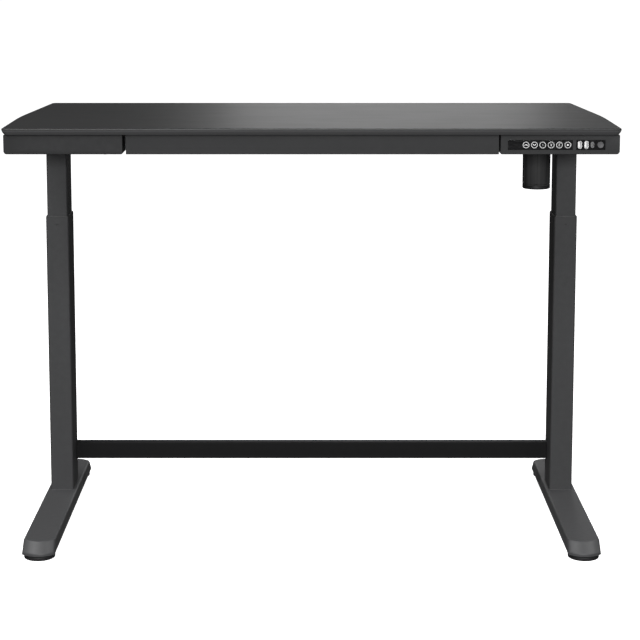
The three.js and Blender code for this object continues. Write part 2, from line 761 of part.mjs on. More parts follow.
// Worm on top of the motor: round rings set off centre, turning as they climb.
function motorWorm() {
  const rings = [];
  const z0 = MOTOR_TOP + WORM_SEAT;
  const perTurn = 5;
  const sides = 10;
  for (let level = 0; level <= WORM_TURNS * perTurn; level += 1) {
    const lean = (level * 2 * Math.PI) / perTurn;
    const cx = MOTOR_X + WORM_OFFSET * Math.cos(lean);
    const cy = MOTOR_Y + WORM_OFFSET * Math.sin(lean);
    const ring = [];
    for (let k = 0; k < sides; k += 1) {
      const a = (k * 2 * Math.PI) / sides;
      const r = WORM_R - WORM_OFFSET;
      ring.push([cx + r * Math.cos(a), cy + r * Math.sin(a), z0 + (level * WORM_PITCH) / perTurn]);
    }
    rings.push(ring);
  }
  return join(loft(rings), cylinderZ(MOTOR_X, MOTOR_Y, ROTOR_R, MOTOR_TOP + 2, z0 + 1, 20));
}

// Housing of the worm drive: open at the top under the bracket, shaft passing through across the desk.
function motorGearbox() {
  const x0 = MOTOR_X - MOTOR_R;
  const x1 = MOTOR_X + MOTOR_R - 0.5;
  const cx = (x0 + x1) / 2;
  const y0 = MOTOR_Y - MOTOR_R - 1;
  const y1 = COLUMN_Y + 24;
  const cy = (y0 + y1) / 2;
  const w = GEARBOX_WALL;
  const body = prismZ(roundRect(cx, cy, x1 - x0, y1 - y0, 5), MOTOR_TOP + FIT, GEARBOX_TOP);
  const well = box(x0 + w, x1 - w, y0 + w, y1 - w, MOTOR_TOP + 5, GEARBOX_TOP + 1);
  const shaftHole = cylinderX(COLUMN_Y, SHAFT_Z, SHAFT_HOLE_R, x0 - 2, x1 + 2, 24);
  const wormHole = cylinderZ(MOTOR_X, MOTOR_Y, ROTOR_R + 1.5, MOTOR_TOP - 1, MOTOR_TOP + 6, 24);
  return cut(body, well, shaftHole, wormHole);
}

// Motor can, open at the bottom, with a hole in its top for the rotor's shaft.
function motorCan() {
  const z0 = MOTOR_BOTTOM + MOTOR_CAP + FIT;
  const can = cylinderZ(MOTOR_X, MOTOR_Y, MOTOR_R, z0, MOTOR_TOP, 48);
  const bore = cylinderZ(MOTOR_X, MOTOR_Y, MOTOR_R - MOTOR_WALL, z0 - 1, MOTOR_TOP - 3, 40);
  const hole = cylinderZ(MOTOR_X, MOTOR_Y, ROTOR_R + 0.5, MOTOR_TOP - 4, MOTOR_TOP + 1, 20);
  return cut(can, bore, hole);
}

function motorEndCap() {
  const r = MOTOR_R;
  const z = MOTOR_BOTTOM;
  const plug = r - MOTOR_WALL - FIT;
  const top = z + MOTOR_CAP + MOTOR_SPIGOT;
  const profile = [
    new THREE.Vector2(0, z),
    new THREE.Vector2(r - 2, z),
    new THREE.Vector2(r, z + 2),
    new THREE.Vector2(r, z + MOTOR_CAP),
    new THREE.Vector2(plug, z + MOTOR_CAP),
    new THREE.Vector2(plug, top),
    new THREE.Vector2(0, top),
  ];
  const geometry = new THREE.LatheGeometry(profile, 48);
  geometry.rotateX(Math.PI / 2);
  geometry.translate(MOTOR_X, MOTOR_Y, 0);
  return toSolid(geometry);
}

// ---------------------------------------------------------------- front boxes

// Hollow front box, open at the back. Its lower corner beside the drawer is the tighter one.
function apronShell(x0, x1) {
  const y1 = FRONT_Y + APRON_DEPTH;
  const w = APRON_WALL;
  const [ra, rb] = x0 < 0 ? [APRON_R, APRON_INNER_R] : [APRON_INNER_R, APRON_R];
  const skin = prismY(apronOutline(x0, x1, APRON_Z0, APRON_Z1, ra, rb), FRONT_Y, y1);
  const room = apronOutline(x0 + w, x1 - w, APRON_Z0 + w, APRON_Z1 - w, ra - w, rb - w);
  return cut(skin, prismY(room, FRONT_Y + w + 1, y1 + 1));
}

// Shallow domed plug under the left-hand box.
function apronCap() {
  const radius = (CAP_R * CAP_R + CAP_DROP * CAP_DROP) / (2 * CAP_DROP);
  const top = APRON_Z0 - FIT;
  const geometry = new THREE.SphereGeometry(radius, 32, 40);
  geometry.translate(CAP_X, CAP_Y, top - CAP_DROP + radius);
  const slab = box(CAP_X - 10, CAP_X + 10, CAP_Y - 10, CAP_Y + 10, top - CAP_DROP - 1, top);
  return toSolid(geometry).intersect(slab);
}

function controlHousing() {
  const shell = apronShell(CONTROL_X0, CONTROL_X1);
  const rise = FRONT_Y + RECESS;
  const displayPocket = box(DISPLAY_X0, DISPLAY_X1, FRONT_Y - 1, rise, WINDOW_Z0, WINDOW_Z1);
  const portPocket = box(PORTS_X0, PORTS_X1, FRONT_Y - 1, rise, WINDOW_Z0, WINDOW_Z1);
  const through = box(PORTS_X0 + 1, PORTS_X1 - 1, FRONT_Y, FRONT_Y + 6, WINDOW_Z0 + 1, WINDOW_Z1 - 1);
  return cut(shell, displayPocket, portPocket, through);
}

function displayPanel() {
  const y1 = FRONT_Y + RECESS - FIT;
  return box(DISPLAY_X0 + FIT, DISPLAY_X1 - FIT, FRONT_Y + 0.2, y1, WINDOW_Z0 + FIT, WINDOW_Z1 - FIT);
}

// Dark socket plate with openings for the sockets and the push button.
function portPanel() {
  const y0 = FRONT_Y + 0.2;
  const y1 = FRONT_Y + RECESS - FIT;
  let plate = box(PORTS_X0 + FIT, PORTS_X1 - FIT, y0, y1, WINDOW_Z0 + FIT, WINDOW_Z1 - FIT);
  for (const x of USB_A_X) {
    const hole = roundRect(x, CONTROL_Z, USB_A_W + 2 * FIT, USB_A_H + 2 * FIT, 3);
    plate = cut(plate, prismY(hole, y0 - 1, y1 + 1));
  }
  const small = roundRect(USB_C_X, CONTROL_Z, USB_C_W + 2 * FIT, USB_C_H + 2 * FIT, 3);
  plate = cut(plate, prismY(small, y0 - 1, y1 + 1));
  return cut(plate, cylinderY(BUTTON_X, CONTROL_Z, BUTTON_R + FIT, y0 - 1, y1 + 1, 32));
}

// Socket shell with its contact tongue; the opening faces the front.
function socket(x, w, h, r, rim, tongue) {
  const y1 = FRONT_Y + PORT_DEPTH;
  const skin = prismY(roundRect(x, CONTROL_Z, w, h, r), FRONT_Y, y1);
  const mouth = roundRect(x, CONTROL_Z, w - 2 * rim, h - 2 * rim, Math.max(r - rim, 0.4));
  const shell = cut(skin, prismY(mouth, FRONT_Y - 1, y1 - 1.5));
  const half = h / 2 - rim - 1;
  const blade = box(x + tongue[0], x + tongue[1], FRONT_Y + 2, y1 - 1, CONTROL_Z - half, CONTROL_Z + half);
  return join(shell, blade);
}

function usbA(x) {
  return socket(x, USB_A_W, USB_A_H, 2.6, 1.1, [0.3, 2.0]);
}

function usbC() {
  return socket(USB_C_X, USB_C_W, USB_C_H, 2.7, 0.9, [-0.5, 0.5]);
}

// Push button with its stem reaching back towards the board's switch.
function pushButton() {
  const face = cylinderY(BUTTON_X, CONTROL_Z, BUTTON_R, FRONT_Y - 0.8, FRONT_Y + 4, 36);
  const collar = cylinderY(BUTTON_X, CONTROL_Z, BUTTON_R - 1.2, FRONT_Y - 2, FRONT_Y - 0.4, 36);
  const stem = cylinderY(BUTTON_X, CONTROL_Z, BUTTON_STEM_R, FRONT_Y + 3.5, FRONT_Y + 11, 20);
  return join(cut(face, collar), stem);
}

// Component on the back of the circuit board.
function boardPart(x, width, height, rise) {
  const y0 = BOARD_Y + BOARD_THICK - 0.5;
  return box(x, x + width, y0, y0 + rise, CONTROL_Z - height / 2, CONTROL_Z + height / 2);
}

// Circuit board with its processor, relay block, plug and the push button's switch.
function controlBoard() {
  const [z0, z1] = [CONTROL_Z - BOARD_HALF, CONTROL_Z + BOARD_HALF];
  const board = box(BOARD_X0, BOARD_X1, BOARD_Y, BOARD_Y + BOARD_THICK, z0, z1);
  const chip = boardPart(BOARD_X0 + 26, 14, 14, 3);
  const relay = boardPart(BOARD_X0 + 56, 22, 17, 11);
  const plug = boardPart(BOARD_X0 + 96, 18, 12, 8);
  const y0 = BOARD_Y - 2;
  const press = box(BUTTON_X - 3, BUTTON_X + 3, y0, BOARD_Y + 1, CONTROL_Z - 3, CONTROL_Z + 3);
  return join(board, chip, relay, plug, press);
}

// ---------------------------------------------------------------- power unit

function powerUnit() {
  const cy = (POWER_Y0 + POWER_Y1) / 2;
  const z0 = POWER_Z0;
  const z1 = FRAME_TOP;
  const cz = (z0 + z1) / 2;
  const skin = prismX(roundRect(cy, cz, POWER_Y1 - POWER_Y0, z1 - z0, 4), POWER_X0, POWER_X1);
  const [w, h] = [INLET_W / 2, INLET_H / 2];
  return cut(skin, box(POWER_X0 - 1, POWER_X0 + INLET_DEPTH, cy - w, cy + w, cz - h, cz + h));
}

// Two-pin appliance inlet sunk into the end of the power unit.
function mainsInlet() {
  const cy = (POWER_Y0 + POWER_Y1) / 2;
  const cz = (POWER_Z0 + FRAME_TOP) / 2;
  const w = INLET_W - 2 * FIT;
  const h = INLET_H - 2 * FIT;
  const floor = POWER_X0 + INLET_WELL;
  const body = prismX(roundRect(cy, cz, w, h, 1), POWER_X0 - 1, POWER_X0 + INLET_DEPTH - 1);
  const well = prismX(roundRect(cy, cz, w - 5, h - 4, 4), POWER_X0 - 2, floor);
  const [pinA, pinB] = [-1, 1].map((end) => {
    return cylinderX(cy + (end * PIN_SPACING) / 2, cz, PIN_R, POWER_X0 + 2, floor + 1, 12);
  });
  return join(cut(body, well), pinA, pinB);
}

// ---------------------------------------------------------------- drawer

function drawerFront() {
  const cx = (DRAWER_X0 + DRAWER_X1) / 2;
  const cz = (APRON_Z0 + APRON_Z1) / 2;
  const outline = roundRect(cx, cz, DRAWER_X1 - DRAWER_X0, APRON_Z1 - APRON_Z0, 0.8);
  return prismY(outline, FRONT_Y, FRONT_Y + DRAWER_FRONT_THICK);
}

function drawerTray() {
  const x0 = DRAWER_X0 + TRAY_MARGIN;
  const x1 = DRAWER_X1 - TRAY_MARGIN;
  const y0 = FRONT_Y + DRAWER_FRONT_THICK + FIT;
  const w = TRAY_WALL;
  const skin = box(x0, x1, y0, TRAY_REAR, TRAY_Z0, TRAY_Z1);
  const room = box(x0 + w, x1 - w, y0 + w, TRAY_REAR - w, TRAY_Z0 + w, TRAY_Z1 + 1);
  const top = TRAY_Z1 - DIVIDER_DROP;
  const pens = box(x0 + w, x1 - w, y0 + DIVIDER_Y, y0 + DIVIDER_Y + w, TRAY_Z0 + 1, top);
  const split = box(x1 - DIVIDER_X, x1 - DIVIDER_X + w, y0 + w, TRAY_REAR - w, TRAY_Z0 + 1, top);
  return join(cut(skin, room), pens, split);
}

// Places a left-hand runner piece, or mirrors it about the drawer's middle for the right.
function runnerSide(solid, side) {
  if (side < 0) {
    return solid;
  }
  return solid.mirror([1, 0, 0]).translate([DRAWER_X0 + DRAWER_X1, 0, 0]);
}

function runnerOuter(side) {
  const x = DRAWER_X0 + RUNNER_INSET;
  const s = RUNNER_SHEET;
  const z0 = RUNNER_Z - RUNNER_HALF;
  const z1 = RUNNER_Z + RUNNER_HALF;
  const web = box(x, x + s, RUNNER_Y0, RUNNER_Y1, z0, FRAME_TOP);
  const low = box(x, x + RUNNER_FLANGE, RUNNER_Y0, RUNNER_Y1, z0, z0 + s);
  const high = box(x, x + RUNNER_FLANGE, RUNNER_Y0, RUNNER_Y1, z1 - s, z1);
  const ear = box(x - RUNNER_EAR, x + 0.5, RUNNER_Y0, RUNNER_Y1, FRAME_TOP - s, FRAME_TOP);
  return runnerSide(join(web, low, high, ear), side);
}

function runnerInner(side) {
  const x = DRAWER_X0 + TRAY_MARGIN - FIT;
  const s = RUNNER_SHEET;
  const h = RUNNER_INNER_HALF;
  const web = box(x - s, x, RUNNER_Y0, RUNNER_Y1, RUNNER_Z - h, RUNNER_Z + h);
  const edge = x - RUNNER_FLANGE + 1;
  const low = box(edge, x - s + 0.5, RUNNER_Y0, RUNNER_Y1, RUNNER_Z - h, RUNNER_Z - h + s);
  const high = box(edge, x - s + 0.5, RUNNER_Y0, RUNNER_Y1, RUNNER_Z + h - s, RUNNER_Z + h);
  return runnerSide(join(web, low, high), side);
}

// Ball cage between the two runner sections, with its balls.
function ballCage(side) {
  const strip = 0.7;
  const reach = RUNNER_FLANGE - 1.6;
  const x = DRAWER_X0 + RUNNER_INSET + RUNNER_SHEET + 0.6;
  const gap = (RUNNER_INNER_HALF + RUNNER_HALF - RUNNER_SHEET) / 2;
  let cage = box(x, x + strip, CAGE_Y0, CAGE_Y1, RUNNER_Z - gap, RUNNER_Z + gap);
  for (const up of [-1, 1]) {
    const z = RUNNER_Z + up * gap;
    cage = join(cage, box(x, x + reach, CAGE_Y0, CAGE_Y1, z - strip / 2, z + strip / 2));
    for (let y = CAGE_Y0 + BALL_PITCH / 2; y < CAGE_Y1; y += BALL_PITCH) {
      const ball = new THREE.SphereGeometry(BALL_R, 8, 4);
      ball.translate(x + reach - 3, y, z);
      cage = join(cage, toSolid(ball));
    }
  }
  return runnerSide(cage, side);
}

// ---------------------------------------------------------------- assembly

// The part's origin is on the floor, under the middle of the box that just holds the desk.
const ORIGIN_Y = (FOOT_FRONT + DESK_DEPTH / 2) / 2;

function addPiece(group, name, solid, material) {
  const geometry = toGeometry(solid);
  geometry.translate(0, -ORIGIN_Y, 0);
  const mesh = new THREE.Mesh(geometry, material);
  mesh.name = name;
  group.add(mesh);
}

function addBase(group) {
  const ends = padCentres();
  for (const [word, side] of [['left', -1], ['right', 1]]) {
    addPiece(group, `foot_${word}`, foot(side), paintedSteel());
    addPiece(group, `outer_tube_${word}`, outerTube(side), paintedSteel());
    addPiece(group, `glide_bush_${word}`, glideBush(side), blackPlastic());
    addPiece(group, `nut_tube_${word}`, nutTube(side), brightSteel());
    addPiece(group, `lead_nut_${word}`, leadNut(side), whitePlastic());
    addPiece(group, `pad_front_${word}`, levellingPad(side, ends[0]), blackPlastic());
    addPiece(group, `pad_rear_${word}`, levellingPad(side, ends[1]), blackPlastic());
    addPiece(group, `stud_front_${word}`, levellingStud(side, ends[0]), brightSteel());
    addPiece(group, `stud_rear_${word}`, levellingStud(side, ends[1]), brightSteel());
  }
  addPiece(group, 'crossbar', crossbar(), paintedSteel());
}

function addLift(group) {
  addPiece(group, 'desktop', desktop(), deskLacquer());
  for (const [word, side] of [['left', -1], ['right', 1]]) {
    addPiece(group, `inner_tube_${word}`, innerTube(side), paintedSteel());
    addPiece(group, `lower_slider_${word}`, lowerSlider(side), blackPlastic());
    addPiece(group, `column_gearbox_${word}`, columnGearbox(side), castAluminium());
    addPiece(group, `side_bracket_${word}`, sideBracket(side), paintedSteel());
    addPiece(group, `lead_screw_${word}`, leadScrew(side), brightSteel());
    addPiece(group, `shaft_bevel_${word}`, shaftBevel(side), brightSteel());
    addPiece(group, `runner_outer_${word}`, runnerOuter(side), brightSteel());
  }
  addPiece(group, 'rear_rail', rearRail(), paintedSteel());
  addPiece(group, 'drive_shaft', driveShaft(), brightSteel());
  addPiece(group, 'worm_wheel', wormWheel(), brassMetal());
  addPiece(group, 'motor_worm', motorWorm(), brightSteel());
  addPiece(group, 'motor_gearbox', motorGearbox(), blackPlastic());
  addPiece(group, 'motor_can', motorCan(), paintedSteel());
  addPiece(group, 'motor_end_cap', motorEndCap(), blackPlastic());
  addPiece(group, 'power_unit', powerUnit(), blackPlastic());
  addPiece(group, 'mains_inlet', mainsInlet(), blackPlastic());
}

function addFront(group) {
  addPiece(group, 'left_apron', apronShell(APRON_X0, APRON_X1), paintedSteel());
  addPiece(group, 'apron_cap', apronCap(), blackPlastic());
  addPiece(group, 'control_housing', controlHousing(), paintedSteel());
  addPiece(group, 'display_panel', displayPanel(), glossPanel());
  addPiece(group, 'port_panel', portPanel(), glossPanel());
  addPiece(group, 'usb_a_port_1', usbA(USB_A_X[0]), whitePlastic());
  addPiece(group, 'usb_a_port_2', usbA(USB_A_X[1]), whitePlastic());
  addPiece(group, 'usb_c_port', usbC(), greyPlastic());
  addPiece(group, 'power_button', pushButton(), greyPlastic());
  addPiece(group, 'control_board', controlBoard(), boardGreen());
}

function addDrawer(group) {
  addPiece(group, 'drawer_front', drawerFront(), paintedSteel());
  addPiece(group, 'drawer_tray', drawerTray(), blackPlastic());
  for (const [word, side] of [['left', -1], ['right', 1]]) {
    addPiece(group, `runner_inner_${word}`, runnerInner(side), brightSteel());
    addPiece(group, `ball_cage_${word}`, ballCage(side), brightSteel());
  }
}

const desk = new THREE.Group();
desk.name = 'standing_desk';
addBase(desk);
addLift(desk);
addFront(desk);
addDrawer(desk);

export default desk;
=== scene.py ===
import math

import bmesh
import bpy
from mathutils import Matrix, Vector


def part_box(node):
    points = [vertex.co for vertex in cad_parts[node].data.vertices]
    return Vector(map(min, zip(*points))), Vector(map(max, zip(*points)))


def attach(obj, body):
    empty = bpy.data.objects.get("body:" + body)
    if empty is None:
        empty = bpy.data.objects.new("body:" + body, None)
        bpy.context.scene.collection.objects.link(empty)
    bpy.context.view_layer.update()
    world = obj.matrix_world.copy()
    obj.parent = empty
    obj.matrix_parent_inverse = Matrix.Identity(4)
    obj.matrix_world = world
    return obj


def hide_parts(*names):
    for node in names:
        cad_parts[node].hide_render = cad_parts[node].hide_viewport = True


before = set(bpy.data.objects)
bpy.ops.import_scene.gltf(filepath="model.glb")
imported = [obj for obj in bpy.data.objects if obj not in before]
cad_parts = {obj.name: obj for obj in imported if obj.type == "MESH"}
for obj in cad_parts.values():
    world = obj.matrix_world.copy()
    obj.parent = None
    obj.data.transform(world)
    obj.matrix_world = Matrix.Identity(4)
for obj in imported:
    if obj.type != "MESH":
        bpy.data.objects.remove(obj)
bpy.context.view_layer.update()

MM = 0.001
SIDES = (("left", -1), ("right", 1))
DOWN, BACK = (0, 0, -1), (0, 1, 0)
EDGE = 0.0004  # usual rounding of an edge
LEAST_RADIUS = 0.0001  # what an inset leaves of a corner


# ---------------------------------------------------------------- outlines and skins

def arc(cx, cy, r, start, end, n):
    """Points along an arc, angles in degrees, both ends included."""
    steps = [math.radians(start + (end - start) * k / n) for k in range(n + 1)]
    return [(cx + r * math.cos(a), cy + r * math.sin(a)) for a in steps]


def rounded(u0, u1, v0, v1, r, n=6):
    """Function of an inset that gives a rectangle with round corners."""
    def outline(inset):
        q = max(r - inset, LEAST_RADIUS)
        a0, a1, b0, b1 = u0 + inset + q, u1 - inset - q, v0 + inset + q, v1 - inset - q
        points = arc(a1, b0, q, -90, 0, n)
        points += arc(a1, b1, q, 0, 90, n)
        points += arc(a0, b1, q, 90, 180, n)
        points += arc(a0, b0, q, 180, 270, n)
        return points
    return outline


def hanging(u0, u1, v0, v1, low_left, low_right, top, n=8):
    """Function of an inset that gives a rectangle with its own radius at each lower corner."""
    def outline(inset):
        p, q, t = (max(r - inset, LEAST_RADIUS) for r in (low_left, low_right, top))
        points = arc(u1 - inset - q, v0 + inset + q, q, -90, 0, n)
        points += arc(u1 - inset - t, v1 - inset - t, t, 0, 90, 3)
        points += arc(u0 + inset + t, v1 - inset - t, t, 90, 180, 3)
        points += arc(u0 + inset + p, v0 + inset + p, p, 180, 270, n)
        return points
    return outline


def disc(cx, cy, r, n=48):
    """Function of an inset that gives a circle."""
    def outline(inset):
        return arc(cx, cy, r - inset, 0, 360 - 360 / n, n - 1)
    return outline


PLACE = {
    "X": lambda u, v, w: (w, u, v),
    "Y": lambda u, v, w: (u, w, v),
    "Z": lambda u, v, w: (u, v, w),
}


def ring(axis, points, w):
    return [PLACE[axis](u, v, w) for u, v in points]


def rim(e, n=3):
    """(inset, rise) pairs of a quarter-round edge of radius e, from the flat outwards."""
    steps = [math.radians(90 * k / n) for k in range(n + 1)]
    return [(e * (1 - math.sin(a)), e * (1 - math.cos(a))) for a in steps]


def skin(bm, rings, caps=(True, True), wrap=False):
    """Adds a skin through rings that all have the same number of points."""
    rows = [[bm.verts.new(p) for p in points] for points in rings]
    pairs = list(zip(rows, rows[1:]))
    if wrap:
        pairs.append((rows[-1], rows[0]))
    count = len(rows[0])
    for a, b in pairs:
        for k in range(count):
            j = (k + 1) % count
            bm.faces.new((a[k], a[j], b[j], b[k]))
    if caps[0] and not wrap:
        bm.faces.new(rows[0])
    if caps[1] and not wrap:
        bm.faces.new(rows[-1])
    return bm


def prism(bm, axis, outline, lo, hi, e0=EDGE, e1=EDGE):
    """Solid bar with its end edges rounded."""
    rings = [ring(axis, outline(i), lo + r) for i, r in rim(e0)]
    rings += [ring(axis, outline(i), hi - r) for i, r in reversed(rim(e1))]
    return skin(bm, rings)


def tube(bm, axis, outline, lo, hi, wall, e=EDGE):
    """Hollow bar, open at both ends, with its rims rounded."""
    rings = [ring(axis, outline(i), lo + r) for i, r in rim(e, 2)]
    rings += [ring(axis, outline(i), hi - r) for i, r in reversed(rim(e, 2))]
    rings += [ring(axis, outline(wall), hi), ring(axis, outline(wall), lo)]
    return skin(bm, rings, wrap=True)


def cup(bm, axis, outline, closed, opened, wall, floor, e=0.0008):
    """Box with one open end: closed and opened are the places of its ends along the axis."""
    way = 1 if opened > closed else -1
    rings = [ring(axis, outline(i), closed + way * r) for i, r in rim(e)]
    rings += [ring(axis, outline(i), opened - way * r) for i, r in reversed(rim(EDGE, 2))]
    rings += [ring(axis, outline(wall), opened), ring(axis, outline(wall), closed + way * floor)]
    return skin(bm, rings)


def lathe(bm, cx, cy, profile, n=48):
    """Turned piece about a vertical axis: profile is (radius, z) pairs from one end to the other."""
    return skin(bm, [ring("Z", circle(cx, cy, r, n), z) for r, z in profile])


def turn(n):
    """Angles of n even steps round a circle."""
    return [2 * math.pi * k / n for k in range(n)]


def circle(cx, cy, r, n):
    return [(cx + r * math.cos(a), cy + r * math.sin(a)) for a in turn(n)]


def middle(lo, hi):
    """Centre between two corners."""
    return [(a + b) / 2 for a, b in zip(lo, hi)]


def block(bm, lo, hi, e=EDGE):
    """Box between two corners with all its edges rounded."""
    r = min(e * 1.5, *[(b - a) / 2.2 for a, b in zip(lo, hi)])
    plan = rounded(lo[0], hi[0], lo[1], hi[1], r, 3)
    return prism(bm, "Z", plan, lo[2], hi[2], min(e, r), min(e, r))


def hexagon(flats, a):
    """Distance from the centre of a hexagon to its side in the direction a."""
    return flats / 2 / math.cos((a + math.pi / 6) % (math.pi / 3) - math.pi / 6)


def socket_screw(bm, at, axis, r=0.0042, h=0.0026):
    """Button-head screw with a hexagon socket; axis points out of the surface it sits on."""
    flats = r * 0.85
    to = Vector(axis).to_track_quat("Z", "Y").to_matrix().to_4x4()
    to.translation = Vector(at)
    profile = [(r, -0.0001), (r, h * 0.3), (r * 0.93, h * 0.62), (r * 0.78, h * 0.88), (r * 0.6, h)]
    rings = [[to @ Vector((q * math.cos(a), q * math.sin(a), z)) for a in turn(24)] for q, z in profile]
    for z in (h, h * 0.35):
        points = [(hexagon(flats, a), a) for a in turn(24)]
        rings.append([to @ Vector((q * math.cos(a), q * math.sin(a), z)) for q, a in points])
    return skin(bm, rings)


THREAD_CREST, THREAD_FLANK = 2.2, 8  # how wide the crests are and how steep the flanks


def threaded(bm, cx, cy, r, depth, pitch, z0, z1, n=20, steps=8, starts=1):
    """Right-hand screw thread with flat crests and roots, tapered in at both ends."""
    rings = []
    count = int((z1 - z0) / pitch * steps)
    for k in range(count + 1):
        z = z0 + (z1 - z0) * k / count
        fade = min(1, (z - z0) / pitch, (z1 - z) / pitch)
        points = []
        for a in turn(n):
            phase = (z / pitch - starts * a / (2 * math.pi)) % 1
            wave = min(1, max(0, THREAD_CREST - abs(phase - 0.5) * THREAD_FLANK))
            q = r - depth + depth * wave * fade
            points.append((cx + q * math.cos(a), cy + q * math.sin(a), z))
        rings.append(points)
    return skin(bm, rings)


# ---------------------------------------------------------------- pieces

def new():
    return bmesh.new()


def placed(name, data):
    """New object in the scene."""
    obj = bpy.data.objects.new(name, data)
    bpy.context.scene.collection.objects.link(obj)
    return obj


def mesh_of(bm):
    mesh = bpy.data.meshes.new("mesh")
    bm.to_mesh(mesh)
    bm.free()
    return mesh


def finish_mesh(bm, sharp):
    """Mesh with no doubled points, shaded smooth except where it turns by more than sharp degrees."""
    bmesh.ops.remove_doubles(bm, verts=bm.verts, dist=1e-7)
    bmesh.ops.recalc_face_normals(bm, faces=bm.faces)
    mesh = mesh_of(bm)
    for polygon in mesh.polygons:
        polygon.use_smooth = True
    mesh.set_sharp_from_angle(angle=math.radians(sharp))
    return mesh


def piece(name, bm, material, body, slot, *nodes, cuts=(), sharp=38):
    """Makes an object of a bmesh, cuts it, and hands it to the frame."""
    obj = placed(name, finish_mesh(bm, sharp))
    if cuts:
        carve(obj, cuts, sharp)
    obj.data.materials.append(material)
    weighted = obj.modifiers.new("even_normals", "WEIGHTED_NORMAL")
    weighted.keep_sharp = True
    weighted.weight = 100
    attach(obj, body)
    if nodes:
        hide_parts(*nodes)
    return obj


def carve(obj, cuts, sharp):
    """Cuts each bmesh of a list out of an object."""
    for bm in cuts:
        cutter = placed("cutter", finish_mesh(bm, sharp))
        modifier = obj.modifiers.new("cut", "BOOLEAN")
        modifier.operation = "DIFFERENCE"
        modifier.solver = "EXACT"
        modifier.object = cutter
        bpy.context.view_layer.update()
        evaluated = obj.evaluated_get(bpy.context.evaluated_depsgraph_get())
        mesh = bpy.data.meshes.new_from_object(evaluated)
        obj.modifiers.remove(modifier)
        obj.data = mesh
        bpy.data.objects.remove(cutter)
    for polygon in obj.data.polygons:
        polygon.use_smooth = True
    obj.data.set_sharp_from_angle(angle=math.radians(sharp))


def half_width(node, y):
    """Half the width of a CAD node close to y."""
    points = [v.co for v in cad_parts[node].data.vertices]
    return max(abs(p.x) for p in points if abs(p.y - y) < 12 * MM)


# ---------------------------------------------------------------- materials

MIX_FACTOR, MIX_A, MIX_B, MIX_RESULT = 0, 6, 7, 2  # sockets of a colour Mix node


class Nodes:
    """A material with a Principled shader, and short ways to add what feeds it."""

    def __init__(self, name):
        self.material = bpy.data.materials.new(name)
        self.material.use_nodes = True
        self.tree = self.material.node_tree
        self.tree.nodes.clear()
        self.output = self.tree.nodes.new("ShaderNodeOutputMaterial")
        self.shader = self.tree.nodes.new("ShaderNodeBsdfPrincipled")
        self.link(self.shader.outputs["BSDF"], self.output.inputs["Surface"])
        self.place = self.tree.nodes.new("ShaderNodeTexCoord").outputs["Object"]

    def link(self, a, b):
        self.tree.links.new(a, b)

    def set(self, **values):
        for key, value in values.items():
            self.shader.inputs[key.replace("_", " ")].default_value = value

    def stretched(self, scale):
        node = self.tree.nodes.new("ShaderNodeMapping")
        node.inputs["Scale"].default_value = scale
        self.link(self.place, node.inputs["Vector"])
        return node.outputs["Vector"]

    def noise(self, scale, detail=3.0, vector=None):
        node = self.tree.nodes.new("ShaderNodeTexNoise")
        node.inputs["Scale"].default_value = scale
        node.inputs["Detail"].default_value = detail
        self.link(vector or self.place, node.inputs["Vector"])
        return node.outputs["Fac"]

    def cells(self, scale):
        node = self.tree.nodes.new("ShaderNodeTexVoronoi")
        node.inputs["Scale"].default_value = scale
        self.link(self.place, node.inputs["Vector"])
        return node.outputs["Distance"]

    def spread(self, value, lo, hi, to_lo=0.0, to_hi=1.0):
        node = self.tree.nodes.new("ShaderNodeMapRange")
        for key, number in zip(("From Min", "From Max", "To Min", "To Max"), (lo, hi, to_lo, to_hi)):
            node.inputs[key].default_value = number
        self.link(value, node.inputs["Value"])
        return node.outputs["Result"]

    def cloud(self, scale, detail, lo=0.0, hi=1.0):
        """Noise taken from lo to hi over its usual range."""
        return self.spread(self.noise(scale, detail), 0.3, 0.7, lo, hi)

    def mix(self, factor, a, b):
        node = self.tree.nodes.new("ShaderNodeMix")
        node.data_type = "RGBA"
        self.link(factor, node.inputs[MIX_FACTOR])
        for value, socket in ((a, node.inputs[MIX_A]), (b, node.inputs[MIX_B])):
            if isinstance(value, tuple):
                socket.default_value = (*value, 1)
            else:
                self.link(value, socket)
        return node.outputs[MIX_RESULT]

    def times(self, a, b):
        node = self.tree.nodes.new("ShaderNodeMath")
        node.operation = "MULTIPLY"
        self.link(a, node.inputs[0])
        self.link(b, node.inputs[1])
        return node.outputs[0]

    def edges(self, lo=0.52, hi=0.6):
        """1 along convex edges, broken up by noise, 0 elsewhere."""
        point = self.tree.nodes.new("ShaderNodeNewGeometry").outputs["Pointiness"]
        return self.times(self.spread(point, lo, hi), self.spread(self.noise(70, 4), 0.35, 0.7, 0.41, 0.65))

    def bump(self, height, strength, distance, under=None):
        node = self.tree.nodes.new("ShaderNodeBump")
        node.inputs["Strength"].default_value = strength
        node.inputs["Distance"].default_value = distance
        self.link(height, node.inputs["Height"])
        if under:
            self.link(under, node.inputs["Normal"])
        return node.outputs["Normal"]

    def use(self, colour=None, rough=None, normal=None):
        for value, key in ((colour, "Base Color"), (rough, "Roughness"), (normal, "Normal")):
            if value:
                self.link(value, self.shader.inputs[key])
        return self.material


def tint(colour, factor):
    return tuple(min(1, c * factor) for c in colour)


